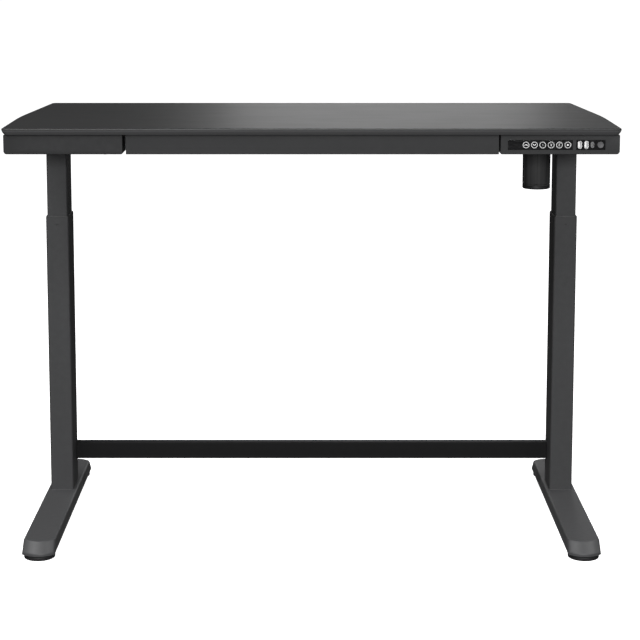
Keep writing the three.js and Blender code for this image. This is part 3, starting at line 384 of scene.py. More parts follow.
def coated(name, colour, rough, peel=0.06, wear=1.9, level=0.5, grain=1400):
    """Powder coat or paint: clouded tone, fine speckle, orange peel and paler worn edges."""
    m = Nodes(name)
    clouded = m.mix(m.cloud(7, 2), tint(colour, 0.985), tint(colour, 1.015))
    fine = m.noise(grain, 2)
    speckled = m.mix(m.spread(fine, 0.56, 0.74, 0, 0.35), clouded, tint(colour, 1.3))
    worn = m.mix(m.edges(), speckled, tint(colour, wear))
    patch = m.cloud(90, 3, rough - 0.015, rough + 0.015)
    under = m.bump(m.noise(480, 2), peel, 0.0001)
    m.set(Specular_IOR_Level=level)
    return m.use(worn, patch, m.bump(fine, peel, 0.0001, under))


def sheen_banded_can(name, colour, rough):
    """Satin paint over a deep-drawn steel can: lengthwise bands of painted sheen, fine grain, rubbed edges.
    """
    m = Nodes(name)
    painted_sheen_band = m.noise(1, 2, m.stretched((150, 150, 3)))
    # light and dark lengthwise bands: painted sheen
    tone = m.mix(m.spread(painted_sheen_band, 0.38, 0.62), tint(colour, 0.55), tint(colour, 1.55))
    worn = m.mix(m.edges(), tone, tint(colour, 2.0))
    patch = m.spread(painted_sheen_band, 0.3, 0.7, rough + 0.06, rough - 0.06)
    m.set(Specular_IOR_Level=0.2)
    return m.use(worn, patch, m.bump(m.noise(1400, 2), 0.05, 0.0001))


def lacquered(name, colour, rough, level=0.5):
    """Desktop lacquer: even matt film with faint cloudiness, dust nibs and rubbed edges."""
    m = Nodes(name)
    clouded = m.mix(m.cloud(4, 3), tint(colour, 0.95), tint(colour, 1.05))
    fine = m.noise(900, 3)
    flecked = m.mix(m.spread(fine, 0.6, 0.8, 0, 0.35), clouded, tint(colour, 1.6))
    worn = m.mix(m.edges(0.51, 0.56), flecked, tint(colour, 1.7))
    wiped = m.noise(1, 5, m.stretched((9, 34, 9)))
    patch = m.spread(wiped, 0.3, 0.7, rough - 0.01, rough + 0.015)
    under = m.bump(m.noise(150, 2), 0.03, 0.0004)
    m.set(Specular_IOR_Level=level)
    return m.use(worn, patch, m.bump(fine, 0.05, 0.0001, under))


def moulded(name, colour, rough, pebble=900, depth=0.25, coat=0.0, wear=1.6):
    """Moulded plastic or rubber with a pebbled grain and slightly polished edges."""
    m = Nodes(name)
    tone = m.mix(m.cloud(18, 3), tint(colour, 0.9), tint(colour, 1.12))
    worn = m.mix(m.edges(), tone, tint(colour, wear))
    patch = m.cloud(60, 3, rough - 0.06, rough + 0.06)
    m.set(Coat_Weight=coat, Coat_Roughness=0.12)
    return m.use(worn, patch, m.bump(m.cells(pebble), depth, 0.0001))


def glossy(name, colour, rough):
    """Clear-covered black window with faint wipe marks."""
    m = Nodes(name)
    tone = m.mix(m.cloud(30, 2), tint(colour, 0.85), tint(colour, 1.2))
    wiped = m.noise(1, 4, m.stretched((60, 60, 260)))
    patch = m.spread(wiped, 0.35, 0.75, rough, rough + 0.12)
    m.set(Coat_Weight=0.3, Coat_Roughness=0.08)
    return m.use(tone, patch, m.bump(m.noise(120, 1), 0.02, 0.0002))


def metal(name, colour, rough, along=(1, 1, 1), depth=0.1, blotch=40):
    """Bare or plated metal with drawn streaks along one direction and blotchy plating."""
    m = Nodes(name)
    streak = m.noise(1, 3, m.stretched(tuple(600 * s for s in along)))
    tone = m.mix(m.spread(m.noise(blotch, 3), 0.3, 0.7), tint(colour, 0.86), tint(colour, 1.1))
    streaked = m.mix(m.spread(streak, 0.4, 0.7, 0, 0.5), tone, tint(colour, 0.78))
    patch = m.spread(streak, 0.3, 0.7, rough - 0.05, rough + 0.1)
    m.set(Metallic=1.0)
    return m.use(streaked, patch, m.bump(streak, depth, 0.0001))


def board(name, mask, copper):
    """Solder mask with paler copper tracks under it."""
    m = Nodes(name)
    brick = m.tree.nodes.new("ShaderNodeTexBrick")
    brick.inputs["Scale"].default_value = 160
    brick.inputs["Mortar Size"].default_value = 0.06
    m.link(m.stretched((1, 1, 1)), brick.inputs["Vector"])
    tracks = m.mix(brick.outputs["Fac"], tint(mask, 1.0), copper)
    tone = m.mix(m.cloud(90, 3, 0, 0.4), tracks, tint(mask, 0.6))
    patch = m.cloud(200, 2, 0.35, 0.5)
    return m.use(tone, patch, m.bump(brick.outputs["Fac"], 0.2, 0.0001))


CHARCOAL = (0.046, 0.0464, 0.0478)
PAINT = coated("charcoal_powder_coat", CHARCOAL, 0.6, level=0.2)
# lighter copy of the charcoal powder coat for the feet: painted light that brightens their tops and sloping
# ends
FOOT_LIT_PAINT = coated("foot_powder_coat_painted_light", tint(CHARCOAL, 1.35), 0.5, level=0.45)
# darker copies of the same charcoal powder coat for the drawer, control box and left box fronts: painted
# shade that evens out how the lamps fall on them
FRONT_SHADED_PAINT = coated("front_powder_coat_painted_shade", tint(CHARCOAL, 0.64), 0.6, peel=0.05, level=0.15)
BOX_SHADED_PAINT = coated("box_powder_coat_painted_shade", tint(CHARCOAL, 0.46), 0.6, peel=0.05, level=0.15)
BAR_PAINT = coated("crossbar_black_coat", (0.0065, 0.0065, 0.0068), 0.55, wear=2.2, level=0.12)
MOTOR_SHEEN_PAINT = sheen_banded_can("motor_paint_painted_sheen", (0.03, 0.03, 0.0305), 0.6)
TOP_LACQUER = lacquered("desktop_lacquer", (0.014, 0.0142, 0.0147), 0.43)
# five times lighter copy of the desktop lacquer for the undercut edge: painted light where that edge faces
# down into shade
EDGE_LIT_LACQUER = lacquered("desktop_edge_lacquer_painted_light", (0.070, 0.0705, 0.072), 0.5)
PLASTIC = moulded("black_plastic", (0.012, 0.012, 0.013), 0.5)
GREY_NYLON = moulded("charcoal_nylon", (0.023, 0.0232, 0.0238), 0.5, 700, 0.15)
RUBBER = moulded("pad_rubber", (0.014, 0.014, 0.015), 0.72, 500, 0.4)
GLOSS = glossy("window_gloss", (0.0045, 0.0045, 0.005), 0.1)
WHITE = moulded("white_plastic", (0.86, 0.86, 0.85), 0.4, 1200, 0.08, wear=1.05)
GREY = moulded("grey_plastic", (0.32, 0.32, 0.325), 0.42, 900, 0.15)
KEY_GREY = moulded("key_grey_plastic", (0.085, 0.085, 0.088), 0.5, 900, 0.15)
PRINT = moulded("symbol_print", (0.56, 0.56, 0.56), 0.5, 1500, 0.06, wear=1.1)
PRINT_BRIGHT = moulded("symbol_print_bright", (0.9, 0.9, 0.9), 0.45, 1500, 0.06, wear=1.0)
ZINC = metal("zinc_plate", (0.50, 0.52, 0.54), 0.36, (0.03, 1, 1))
STEEL_UP = metal("drawn_steel_upright", (0.42, 0.43, 0.44), 0.33, (1, 1, 0.03))
# near-black runner steel: painted shade, so the runners seen through the gap above the drawer read dark
RUNNER_SHADE_STEEL = metal("runner_steel_painted_shade", (0.035, 0.035, 0.037), 0.45, (1, 0.03, 1))
CAST = metal("cast_aluminium", (0.40, 0.41, 0.42), 0.5, (0.8, 0.8, 0.8), 0.5, 90)
BRASS = metal("machined_brass", (0.62, 0.43, 0.16), 0.3, (0.05, 1, 1))
SCREW = metal("black_oxide_screw", (0.10, 0.10, 0.105), 0.4, (1, 1, 1), 0.1, 300)
GREEN = board("circuit_board", (0.012, 0.085, 0.03), (0.03, 0.16, 0.05))


def screws(name, spots, axis, r, h, slot, body="lift"):
    """Button-head screws at a list of places, all one piece."""
    bm = new()
    for at in spots:
        socket_screw(bm, at, axis, r, h)
    piece(name, bm, SCREW, body, slot)


# ---------------------------------------------------------------- desktop

DESK_WIDEST = 252 * MM  # how far behind the front edge the sides bulge most
# (inset, rise) in millimetres up the undercut edge, from the underside
DESK_EDGE = ((5, 0), (4.6, 0.12), (3.4, 1.9), (1.3, 5.2), (0.45, 7.2), (0.1, 8.6), (0, 9.6), (0, 10.6))


def desk_outline(lo, hi):
    """Function of an inset that gives the desktop's plan, rounded at every corner."""
    front, rear = half_width("desktop", lo.y), half_width("desktop", hi.y)
    widest = lo.y + DESK_WIDEST
    corner, bulge, overshoot, steps = 9 * MM, 60 * MM, 1 * MM, 10
    corners = [
        (-front, lo.y, corner), (front, lo.y, corner), (hi.x + overshoot, widest, bulge),
        (rear, hi.y, corner), (-rear, hi.y, corner), (-hi.x - overshoot, widest, bulge),
    ]

    def outline(inset):
        points = []
        inner = []
        for x, y, r in corners:
            shift = inset if abs(y - widest) > MM else 0
            place = (x - math.copysign(inset, x), y - math.copysign(shift, y - widest))
            inner.append((Vector(place), r))
        for k, (at, r) in enumerate(inner):
            into = (inner[k - 1][0] - at).normalized()
            out = (inner[(k + 1) % len(inner)][0] - at).normalized()
            for step in range(steps + 1):
                t = step / steps
                points.append(tuple(at + into * r * (1 - t) ** 2 + out * r * t ** 2))
        return points
    return outline


def desktop():
    lo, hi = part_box("desktop")
    plan = desk_outline(lo, hi)
    rings = [ring("Z", plan(inset * MM), lo.z + rise * MM) for inset, rise in DESK_EDGE]
    rings += [ring("Z", plan(i), hi.z - r) for i, r in reversed(rim(1.6 * MM, 5))]
    top = piece("desktop_board", skin(new(), rings), TOP_LACQUER, "lift", "desk_lacquer", "desktop")
    # the downward-facing undercut faces take the lighter lacquer: painted light
    top.data.materials.append(EDGE_LIT_LACQUER)
    for polygon in top.data.polygons:
        polygon.material_index = int(-0.9 < polygon.normal.z < -0.12)


# ---------------------------------------------------------------- columns

COLUMN_HALF = 24 * MM  # half the width of an outer tube
PAD_RADIUS = 30.5 * MM


def columns():
    for word, side in SIDES:
        outer_tube(word, side)
        lo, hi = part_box(f"inner_tube_{word}")
        inner = tube(new(), "Z", rounded(lo.x, hi.x, lo.y, hi.y, 3.2 * MM, 8), lo.z, hi.z, 1.8 * MM)
        piece(f"inner_column_{word}", inner, PAINT, "lift", "painted_steel", f"inner_tube_{word}")
        glide(word)


def outer_tube(word, side):
    lo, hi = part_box(f"outer_tube_{word}")
    bar_lo, bar_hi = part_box("crossbar")
    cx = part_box(f"pad_front_{word}")[0].x + PAD_RADIUS
    outline = rounded(cx - COLUMN_HALF, cx + COLUMN_HALF, lo.y, hi.y, 4 * MM, 8)
    bm = tube(new(), "Z", outline, lo.z, hi.z, 1.5 * MM, 0.5 * MM)
    slot_z = hi.z - 16 * MM
    slot = rounded(cx - 3.5 * MM, cx + 3.5 * MM, slot_z - 1.5 * MM, slot_z + 1.5 * MM, 1.45 * MM, 6)
    cutter = prism(new(), "Y", slot, lo.y - 2 * MM, lo.y + 2.2 * MM)
    piece(f"outer_column_{word}", bm, PAINT, "base", "painted_steel", f"outer_tube_{word}", cuts=[cutter])
    inner = cx - side * COLUMN_HALF
    wall = 2.4 * MM
    span = sorted((inner + side * 0.4 * MM, inner - side * 34 * MM))
    stub_outline = rounded(bar_lo.y + wall, bar_hi.y - wall, bar_lo.z + wall, bar_hi.z - wall, MM)
    stub = prism(new(), "X", stub_outline, *span)
    piece(f"crossbar_stub_{word}", stub, PAINT, "base", "painted_steel")
    weld(word, outline, lo.z)


def weld(word, outline, z):
    """Painted-over weld bead where a column stands on its foot."""
    wall = outline(0)
    rings = []
    for out, up in ((0.2, 0.9), (-0.25, 0.7), (-0.7, 0.3), (-0.9, -0.25), (0.3, -0.25)):
        points = []
        for j, ((x, y), (bx, by)) in enumerate(zip(outline(out * MM), wall)):
            swell = 1 + 0.12 * math.sin(j * 2.4)
            points.append((bx + (x - bx) * swell, by + (y - by) * swell, z + up * MM))
        rings.append(points)
    piece(f"base_weld_{word}", skin(new(), rings, wrap=True), PAINT, "base", "painted_steel")


def glide(word):
    lo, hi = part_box(f"glide_bush_{word}")
    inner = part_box(f"inner_tube_{word}")
    gap = 0.3 * MM
    hole = rounded(inner[0].x - gap, inner[1].x + gap, inner[0].y - gap, inner[1].y + gap, 3.3 * MM, 8)
    flange = rounded(lo.x, hi.x, lo.y, hi.y, 3.8 * MM, 8)
    under = hi.z - 2 * MM
    rings = [ring("Z", hole(0), lo.z), ring("Z", hole(-0.7 * MM), lo.z), ring("Z", hole(-0.7 * MM), under)]
    rings += [ring("Z", flange(0), under), ring("Z", flange(0), hi.z - 0.7 * MM)]
    rings += [ring("Z", flange(0.2 * MM), hi.z - 0.2 * MM), ring("Z", flange(0.8 * MM), hi.z)]
    rings += [ring("Z", hole(-0.2 * MM), hi.z), ring("Z", hole(0), hi.z - 0.3 * MM)]
    bush = skin(new(), rings, wrap=True)
    piece(f"column_bush_{word}", bush, GREY_NYLON, "base", "black_plastic", f"glide_bush_{word}")


# ---------------------------------------------------------------- feet

FOOT_SETBACK = 18.5 * MM  # from a foot's tip to the top of its sloping end
FOOT_BULGE = 14 * MM  # how far the tip bows out, seen from above
CREST_BULGE = 19.5 * MM  # the same for the top of the slope


def bow(u, bulge, half):
    """How far a bowed end stands back from its tip at the share u of the half width."""
    radius = (half * half + bulge * bulge) / (2 * bulge)
    return radius - math.sqrt(radius * radius - (u * half) ** 2)


def foot_profile(u, lo, hi, drop, half):
    """One lengthwise line over a foot: (y, z) from its front lower edge to its rear lower edge."""
    lip = lo.z + 5 * MM
    points = []
    for way, end in ((1, lo.y), (-1, hi.y)):
        tip = end + way * bow(u, FOOT_BULGE, half)
        crest = end + way * (FOOT_SETBACK + bow(u, CREST_BULGE, half))
        slope = Vector((way * (crest - tip), hi.z - lip)).normalized()
        line = [(tip, lo.z), (tip, lo.z + 1.2 * MM), (tip, lip - 2.2 * MM)]
        line += rounded_turn((tip, lip), (0, -1), (way * slope.x, slope.y), 2.2 * MM)
        line.append(((tip + crest) / 2, (lip + hi.z) / 2))
        line += rounded_turn((crest, hi.z), (-way * slope.x, -slope.y), (way, 0), 1.6 * MM)
        points.append([(y, max(lo.z, z - drop * min(1, (z - lo.z) / (6 * MM)))) for y, z in line])
    middle = [(lo.y + (hi.y - lo.y) * t, hi.z - drop) for t in (0.15, 0.3, 0.5, 0.7, 0.85)]
    return points[0] + middle + points[1][::-1]


def rounded_turn(corner, into, out, size, n=4):
    """Points that take a corner round: into and out are the directions of the two sides from it."""
    points = []
    for k in range(n + 1):
        t = k / n
        a, b = size * (1 - t) ** 2, size * t ** 2
        points.append((corner[0] + into[0] * a + out[0] * b, corner[1] + into[1] * a + out[1] * b))
    return points


def foot(word):
    lo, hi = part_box(f"foot_{word}")
    cx, half, r = (lo.x + hi.x) / 2, (hi.x - lo.x) / 2, 4 * MM
    angles = [math.radians(15 * k) for k in range(1, 7)]
    edge = [(half - r + r * math.sin(a), r * (1 - math.cos(a))) for a in angles]
    flat = [half - r - (half - r) * k / 6 for k in range(7)]
    stations = [(-x, drop) for x, drop in reversed(edge)] + [(-x, 0) for x in flat]
    stations += [(x, 0) for x in flat[-2::-1]] + edge
    lines = []
    for x, drop in stations:
        lines.append([(cx + x, y, z) for y, z in foot_profile(min(1, abs(x) / half), lo, hi, drop, half)])
    skirts = [[(p[0], p[1], lo.z) for p in lines[at]] for at in (0, -1)]
    lines = [skirts[0], *lines, skirts[1]]
    bm = new()
    rows = [[bm.verts.new(p) for p in line] for line in lines]
    for a, b in zip(rows, rows[1:]):
        for k in range(len(a) - 1):
            bm.faces.new((a[k], b[k], b[k + 1], a[k + 1]))
    thick = thickened(bm, 3 * MM)
    # the foot shell takes the lighter copy of the powder coat: painted light
    piece(f"foot_shell_{word}", thick, FOOT_LIT_PAINT, "base", "painted_steel", f"foot_{word}", sharp=30)
    foot_hardware(word, cx, hi.z)


def thickened(bm, wall):
    """Turns an open sheet with its outside upwards into a wall of even thickness."""
    bmesh.ops.remove_doubles(bm, verts=bm.verts, dist=1e-6)
    bmesh.ops.recalc_face_normals(bm, faces=bm.faces)
    top = max(bm.faces, key=lambda f: f.calc_center_median().z)
    if top.normal.z < 0:
        bmesh.ops.reverse_faces(bm, faces=bm.faces)
    sheet = placed("sheet", mesh_of(bm))
    solid = sheet.modifiers.new("wall", "SOLIDIFY")
    solid.thickness = wall
    solid.offset = -1
    bpy.context.view_layer.update()
    thick = new()
    thick.from_object(sheet, bpy.context.evaluated_depsgraph_get())
    bpy.data.objects.remove(sheet)
    return thick


def foot_hardware(word, cx, top):
    """Weld nuts over the levelling studs and the bolts that hold the column."""
    bm = new()
    flats, low, high = 14 * MM, top - 14 * MM, top - 2.9 * MM
    for end in ("front", "rear"):
        y = middle(*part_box(f"stud_{end}_{word}"))[1]
        rings = []
        for z, grow in ((low, 0.92), (top - 13.2 * MM, 1), (top - 3.6 * MM, 1), (high, 0.9)):
            sides = [(grow * hexagon(flats, t), t) for t in turn(24)]
            rings.append([(cx + q * math.cos(t), y + q * math.sin(t), z) for q, t in sides])
        bore = circle(cx, y, 4.4 * MM, 24)
        skin(bm, rings + [ring("Z", bore, high), ring("Z", bore, low)], wrap=True)
    piece(f"foot_weld_nuts_{word}", bm, ZINC, "base", "bright_steel")
    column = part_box(f"inner_tube_{word}")
    ends = (column[0].y + 10 * MM, column[1].y - 10 * MM)
    spots = [(cx + x * MM, y, top - 3 * MM) for x in (-12, 12) for y in ends]
    screws(f"column_bolts_{word}", spots, DOWN, 6 * MM, 4 * MM, "bright_steel", "base")


def pads():
    for end in ("front", "rear"):
        for word, _ in SIDES:
            pad(end, word)


def pad(end, word):
    lo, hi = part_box(f"pad_{end}_{word}")
    cx, cy, _ = middle(lo, hi)
    r, top = (hi.x - lo.x) / 2, hi.z / MM
    sole = [(8.6, 2.6), (8.6, top - 0.3), (9, top), (26, top), (28, 9.1), (29.6, 8.2), (30.3, 6.9)]
    sole += [(30.5, 5.6), (30.5, 5.0), (29.8, 4.7), (29.8, 4.2), (30.5, 3.9), (30.5, 1.6), (30.1, 0.6)]
    sole += [(29.2, 0), (26.6, 0), (26.1, 0.7), (24.9, 0.7), (24.4, 0)]
    sole += [(19.6, 0), (19.1, 0.7), (17.9, 0.7), (17.4, 0)]
    profile = [(q * MM * r / PAD_RADIUS, z * MM) for q, z in sole]
    bm = lathe(new(), cx, cy, [(0.002, 2.6 * MM), *profile, (0.002, 0)], 64)
    node = f"pad_{end}_{word}"
    piece(f"pad_{end}_foot_{word}", bm, RUBBER, f"{node}_body", "black_plastic", node)
    a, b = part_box(f"stud_{end}_{word}")
    head = [(1, 0), (7, 0), (7.7, 0.7), (7.7, 3.4), (7, 4.1), (4, 4.2), (1, 4.2)]
    stud = lathe(new(), cx, cy, [(q * MM, a.z + z * MM) for q, z in head], 32)
    threaded(stud, cx, cy, 4 * MM, 0.7 * MM, 1.25 * MM, a.z + 4.2 * MM, b.z, 16, 8)
    node = f"stud_{end}_{word}"
    piece(f"levelling_{node}", stud, ZINC, f"{node}_body", "bright_steel", node)


def crossbar():
    lo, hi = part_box("crossbar")
    outline = rounded(lo.y, hi.y, lo.z, hi.z, 1.9 * MM, 5)
    bar = tube(new(), "X", outline, lo.x, hi.x, 2 * MM, 0.3 * MM)
    piece("crossbar_tube", bar, BAR_PAINT, "base", "painted_steel", "crossbar")
    spots = [(side * (hi.x - x * MM), hi.y, (lo.z + hi.z) / 2) for side in (-1, 1) for x in (10, 24)]
    screws("crossbar_screws", spots, BACK, 4.4 * MM, 2.4 * MM, "painted_steel", "base")


# ---------------------------------------------------------------- under-desk frame

BRACKET_SHEET = 3 * MM
BRACKET_INNER = 500 * MM  # from the desk's middle to a bracket's inner edge
SHAFT_BORE = 6 * MM


def brackets():
    for word, side in SIDES:
        lo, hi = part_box(f"side_bracket_{word}")
        plate = hi.z - BRACKET_SHEET
        outer = side * max(abs(lo.x), abs(hi.x))
        inner = side * BRACKET_INNER
        x0, x1 = sorted((inner, outer))
        bm = block(new(), (x0, lo.y, plate), (x1, hi.y, hi.z), 0.6 * MM)
        f0, f1 = sorted((outer, outer - side * BRACKET_SHEET))
        block(bm, (f0, lo.y, lo.z), (f1, hi.y, plate + 0.4 * MM), 0.8 * MM)
        if side > 0:
            gear_lo, gear_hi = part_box("motor_gearbox")
            shelf = (gear_lo.x, gear_lo.y - 2 * MM, plate), (x0 + 2 * MM, gear_hi.y + 9 * MM, hi.z)
            block(bm, *shelf, 0.6 * MM)
        piece(f"angle_bracket_{word}", bm, PAINT, "lift", "painted_steel", f"side_bracket_{word}")
        rows = [lo.y + (hi.y - lo.y) * t for t in (0.06, 0.3, 0.72, 0.94)]
        spots = [(x, y, plate) for y in rows for x in (inner + side * 9 * MM, outer - side * 14 * MM)]
        screws(f"bracket_screws_{word}", spots, DOWN, 4.6 * MM, 2.6 * MM, "painted_steel")


def rear_rail():
    lo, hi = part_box("rear_rail")
    sheet, bend = 2 * MM, 2.5 * MM
    back = hi.y - bend
    outline = [(lo.y, lo.z), (back, lo.z)] + arc(back, lo.z + bend, bend, -75, 0, 5)
    outline += [(hi.y, hi.z - bend)] + arc(back, hi.z - bend, bend, 15, 90, 5) + [(lo.y, hi.z)]
    outline += [(lo.y, hi.z - sheet), (back, hi.z - sheet), (hi.y - sheet, hi.z - bend)]
    outline += [(hi.y - sheet, lo.z + bend), (back, lo.z + sheet), (lo.y, lo.z + sheet)]
    rail = skin(new(), [ring("X", outline, x) for x in (lo.x, hi.x)])
    piece("rear_channel", rail, PAINT, "lift", "painted_steel", "rear_rail")
    along = [lo.x + (hi.x - lo.x) * (0.06 + 0.22 * k) for k in range(5)]
    spots = [(x, lo.y + 10 * MM, hi.z - sheet) for x in along]
    screws("rear_channel_screws", spots, DOWN, 4.2 * MM, 2.4 * MM, "painted_steel")


# ---------------------------------------------------------------- lifting gear

def gearboxes():
    _, sy, sz = middle(*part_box("drive_shaft"))
    for word, side in SIDES:
        lo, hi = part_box(f"column_gearbox_{word}")
        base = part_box(f"inner_tube_{word}")[1].z + 0.3 * MM
        plan = rounded(lo.x, hi.x, lo.y, hi.y, 4 * MM, 6)
        body = cup(new(), "Z", plan, base, hi.z, 3.5 * MM, 6 * MM, 1.2 * MM)
        near = lo.x if side > 0 else hi.x
        bore = prism(new(), "X", disc(sy, sz, SHAFT_BORE, 32), near - 5 * MM, near + 5 * MM)
        well = disc((lo.x + hi.x) / 2, sy, 9 * MM, 32)
        screw_hole = prism(new(), "Z", well, base - 2 * MM, base + 8 * MM)
        piece(f"column_gear_housing_{word}", body, CAST, "lift", "cast_aluminium",
              f"column_gearbox_{word}", cuts=[bore, screw_hole])
        housing_ribs(word, lo, hi, base)
    lo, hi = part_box("motor_gearbox")
    plan = rounded(lo.x, hi.x, lo.y, hi.y, 5 * MM, 6)
    body = cup(new(), "Z", plan, lo.z, hi.z, 3.5 * MM, 5 * MM, 1.5 * MM)
    bore = prism(new(), "X", disc(sy, sz, SHAFT_BORE, 32), lo.x - 2 * MM, hi.x + 2 * MM)
    piece("motor_gear_housing", body, PLASTIC, "lift", "black_plastic", "motor_gearbox", cuts=[bore])
    ribs = new()
    for k in range(4):
        x = lo.x + (10 + 12 * k) * MM
        block(ribs, (x, lo.y - 0.8 * MM, lo.z + 4 * MM), (x + 2 * MM, lo.y + MM, hi.z - 5 * MM), 0.4 * MM)
    piece("motor_housing_ribs", ribs, PLASTIC, "lift", "black_plastic")
    across = (lo.y + 6 * MM, hi.y - 7 * MM)
    spots = [(x, y, lo.z) for x in (lo.x + 7 * MM, hi.x - 7 * MM) for y in across]
    screws("motor_housing_screws", spots, DOWN, 3.2 * MM, 2 * MM, "bright_steel")


def housing_ribs(word, lo, hi, base):
    """Cast ribs on both sides of a column's gear housing."""
    bm = new()
    for k in range(3):
        y = lo.y + (16 + 20 * k) * MM
        for x in (lo.x, hi.x):
            block(bm, (x - 0.7 * MM, y - MM, base + 5 * MM), (x + 0.7 * MM, y + MM, hi.z - 6 * MM), 0.4 * MM)
    piece(f"gear_housing_ribs_{word}", bm, CAST, "lift", "cast_aluminium")


def drive():
    lo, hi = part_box("drive_shaft")
    _, cy, cz = middle(lo, hi)
    flats = 9 * MM

    def outline(inset):
        points = []
        for t in turn(24):
            q = min(hexagon(flats, t), flats / 2 * 1.11) - inset
            points.append((cy + q * math.cos(t), cz + q * math.sin(t)))
        return points
    shaft = prism(new(), "X", outline, lo.x, hi.x, 0.6 * MM, 0.6 * MM)
    piece("hex_drive_shaft", shaft, ZINC, "drive_line", "bright_steel", "drive_shaft")
    for word, _ in SIDES:
        lead_screw(word)


def bevel_gear(bm, cx, cy, z, r, face, teeth=12):
    """Bevel gear with its large end at z, narrowing upwards."""
    rings = []
    profile = [(0.70, -3.0, 0.1), (0.72, -0.4, 0.1), (0.96, 0, 1), (0.96 * (1 - face / r), face / MM, 0.6)]
    profile.append((0.45 * (1 - face / r), face / MM, 0))
    for share, rise, tooth in profile:
        points = []
        for t in turn(teeth * 8):
            wave = math.sin(t * teeth)
            q = r * share - tooth * 1.0 * MM * (0.5 - 0.5 * max(-1, min(1, wave * 1.8)))
            points.append((cx + q * math.cos(t), cy + q * math.sin(t), z + rise * MM))
        rings.append(points)
    skin(bm, rings)


def lead_screw(word):
    lo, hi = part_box(f"lead_screw_{word}")
    cx, cy, _ = middle(lo, hi)
    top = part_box(f"inner_tube_{word}")[1].z + 8 * MM
    gear = hi.z - 5 * MM
    bm = threaded(new(), cx, cy, 8 * MM, 1.3 * MM, 5 * MM, lo.z, top, 20, 6, 2)
    lathe(bm, cx, cy, [(0.001, top - MM), (6 * MM, top - MM), (6 * MM, gear - MM), (0.001, gear - MM)], 32)
    bevel_gear(bm, cx, cy, gear, 12.2 * MM, 5 * MM)
    piece(f"trapezoid_screw_{word}", bm, STEEL_UP, f"screw_{word}", "bright_steel", f"lead_screw_{word}")


def motor():
    lo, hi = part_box("motor_can")
    cx, cy, _ = middle(lo, hi)
    r = (hi.x - lo.x) / 2
    profile = [(r - 2 * MM, lo.z), (r - 0.6 * MM, lo.z), (r, lo.z + 0.6 * MM), (r, lo.z + 2.2 * MM)]
    profile += [(r - 0.7 * MM, lo.z + 2.8 * MM), (r - 0.7 * MM, lo.z + 3.6 * MM), (r, lo.z + 4.2 * MM)]
    profile += [(r, hi.z - 1.6 * MM), (r - 0.5 * MM, hi.z - 0.5 * MM), (r - 1.6 * MM, hi.z)]
    profile += [(4 * MM, hi.z), (4 * MM, hi.z - 3 * MM), (r - 2 * MM, hi.z - 3 * MM)]
    can = skin(new(), [ring("Z", circle(cx, cy, q, 72), z) for q, z in profile], wrap=True)
    # the motor can's paint carries lengthwise bands of painted sheen
    piece("motor_body", can, MOTOR_SHEEN_PAINT, "lift", "painted_steel", "motor_can")
    lo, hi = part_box("motor_end_cap")
    low = lo.z + 7 * MM
    profile = [(0.001, hi.z), (r - 2.4 * MM, hi.z), (r - 2.4 * MM, low), (r, low), (r, lo.z + 2.4 * MM)]
    profile += [(r - 0.5 * MM, lo.z + 1.1 * MM), (r - 1.5 * MM, lo.z + 0.3 * MM), (r - 3 * MM, lo.z)]
    boss = [(14, 0), (13.4, 0.8), (9.4, 0.8), (8.8, 0.1), (3, 0.1), (2.6, 1.4)]
    profile += [(q * MM, lo.z + z * MM) for q, z in boss] + [(0.001, lo.z + 1.4 * MM)]
    cover = lathe(new(), cx, cy, profile, 72)
    piece("motor_tail_cover", cover, PLASTIC, "lift", "black_plastic", "motor_end_cap")
    spots = [(cx + side * 20 * MM, cy, lo.z + 1.9 * MM) for side in (-1, 1)]
    screws("motor_tail_screws", spots, DOWN, 2.4 * MM, 1.7 * MM, "bright_steel")


# ---------------------------------------------------------------- front boxes

def apron(name, node, material, slot, cuts=()):
    lo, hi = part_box(node)
    corners = (6.5 * MM, 3 * MM) if lo.x < 0 else (3 * MM, 6.5 * MM)
    outline = hanging(lo.x, hi.x, lo.z, hi.z, *corners, 0.8 * MM)
    bm = cup(new(), "Y", outline, lo.y, hi.y, 2 * MM, 3 * MM, 1.2 * MM)
    return piece(name, bm, material, "lift", slot, node, cuts=cuts)


def left_box():
    # the left box front takes the darkest copy of the powder coat: painted shade
    apron("left_front_box", "left_apron", BOX_SHADED_PAINT, "painted_steel")
    lo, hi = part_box("apron_cap")
    cx, cy, _ = middle(lo, hi)
    r, h = (hi.x - lo.x) / 2, hi.z - lo.z
    dome = [(1, 0.25), (0.9, 0.55), (0.66, 0.82)]
    profile = [(0.0005, hi.z), (r, hi.z)] + [(q * r, hi.z - w * h) for q, w in dome]
    profile += [(0.36 * r, lo.z), (0.0005, lo.z)]
    piece("box_plug", lathe(new(), cx, cy, profile, 40), PLASTIC, "lift", "black_plastic", "apron_cap")
    lo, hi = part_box("left_apron")
    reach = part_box("runner_outer_left")[0].x - 0.5 * MM
    packing = block(new(), (hi.x, hi.y - 14 * MM, lo.z + 4 * MM), (reach, hi.y - 4 * MM, hi.z - 0.6 * MM))
    piece("runner_packing", packing, PLASTIC, "lift", "black_plastic")


def window(node, grow, depth):
    """Pocket cutter with small round corners around a window panel."""
    lo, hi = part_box(node)
    g = grow * MM
    outline = rounded(lo.x - g, hi.x + g, lo.z - g, hi.z + g, 1.2 * MM, 5)
    return prism(new(), "Y", outline, lo.y - 2 * MM, lo.y + depth * MM)


def right_box():
    cuts = [window("display_panel", 0.3, 1.4), window("port_panel", 0.3, 1.4), window("port_panel", -0.8, 6)]
    # the control box front takes a darker copy of the powder coat: painted shade
    apron("control_box", "control_housing", FRONT_SHADED_PAINT, "housing_plastic", cuts)
    display()
    ports()


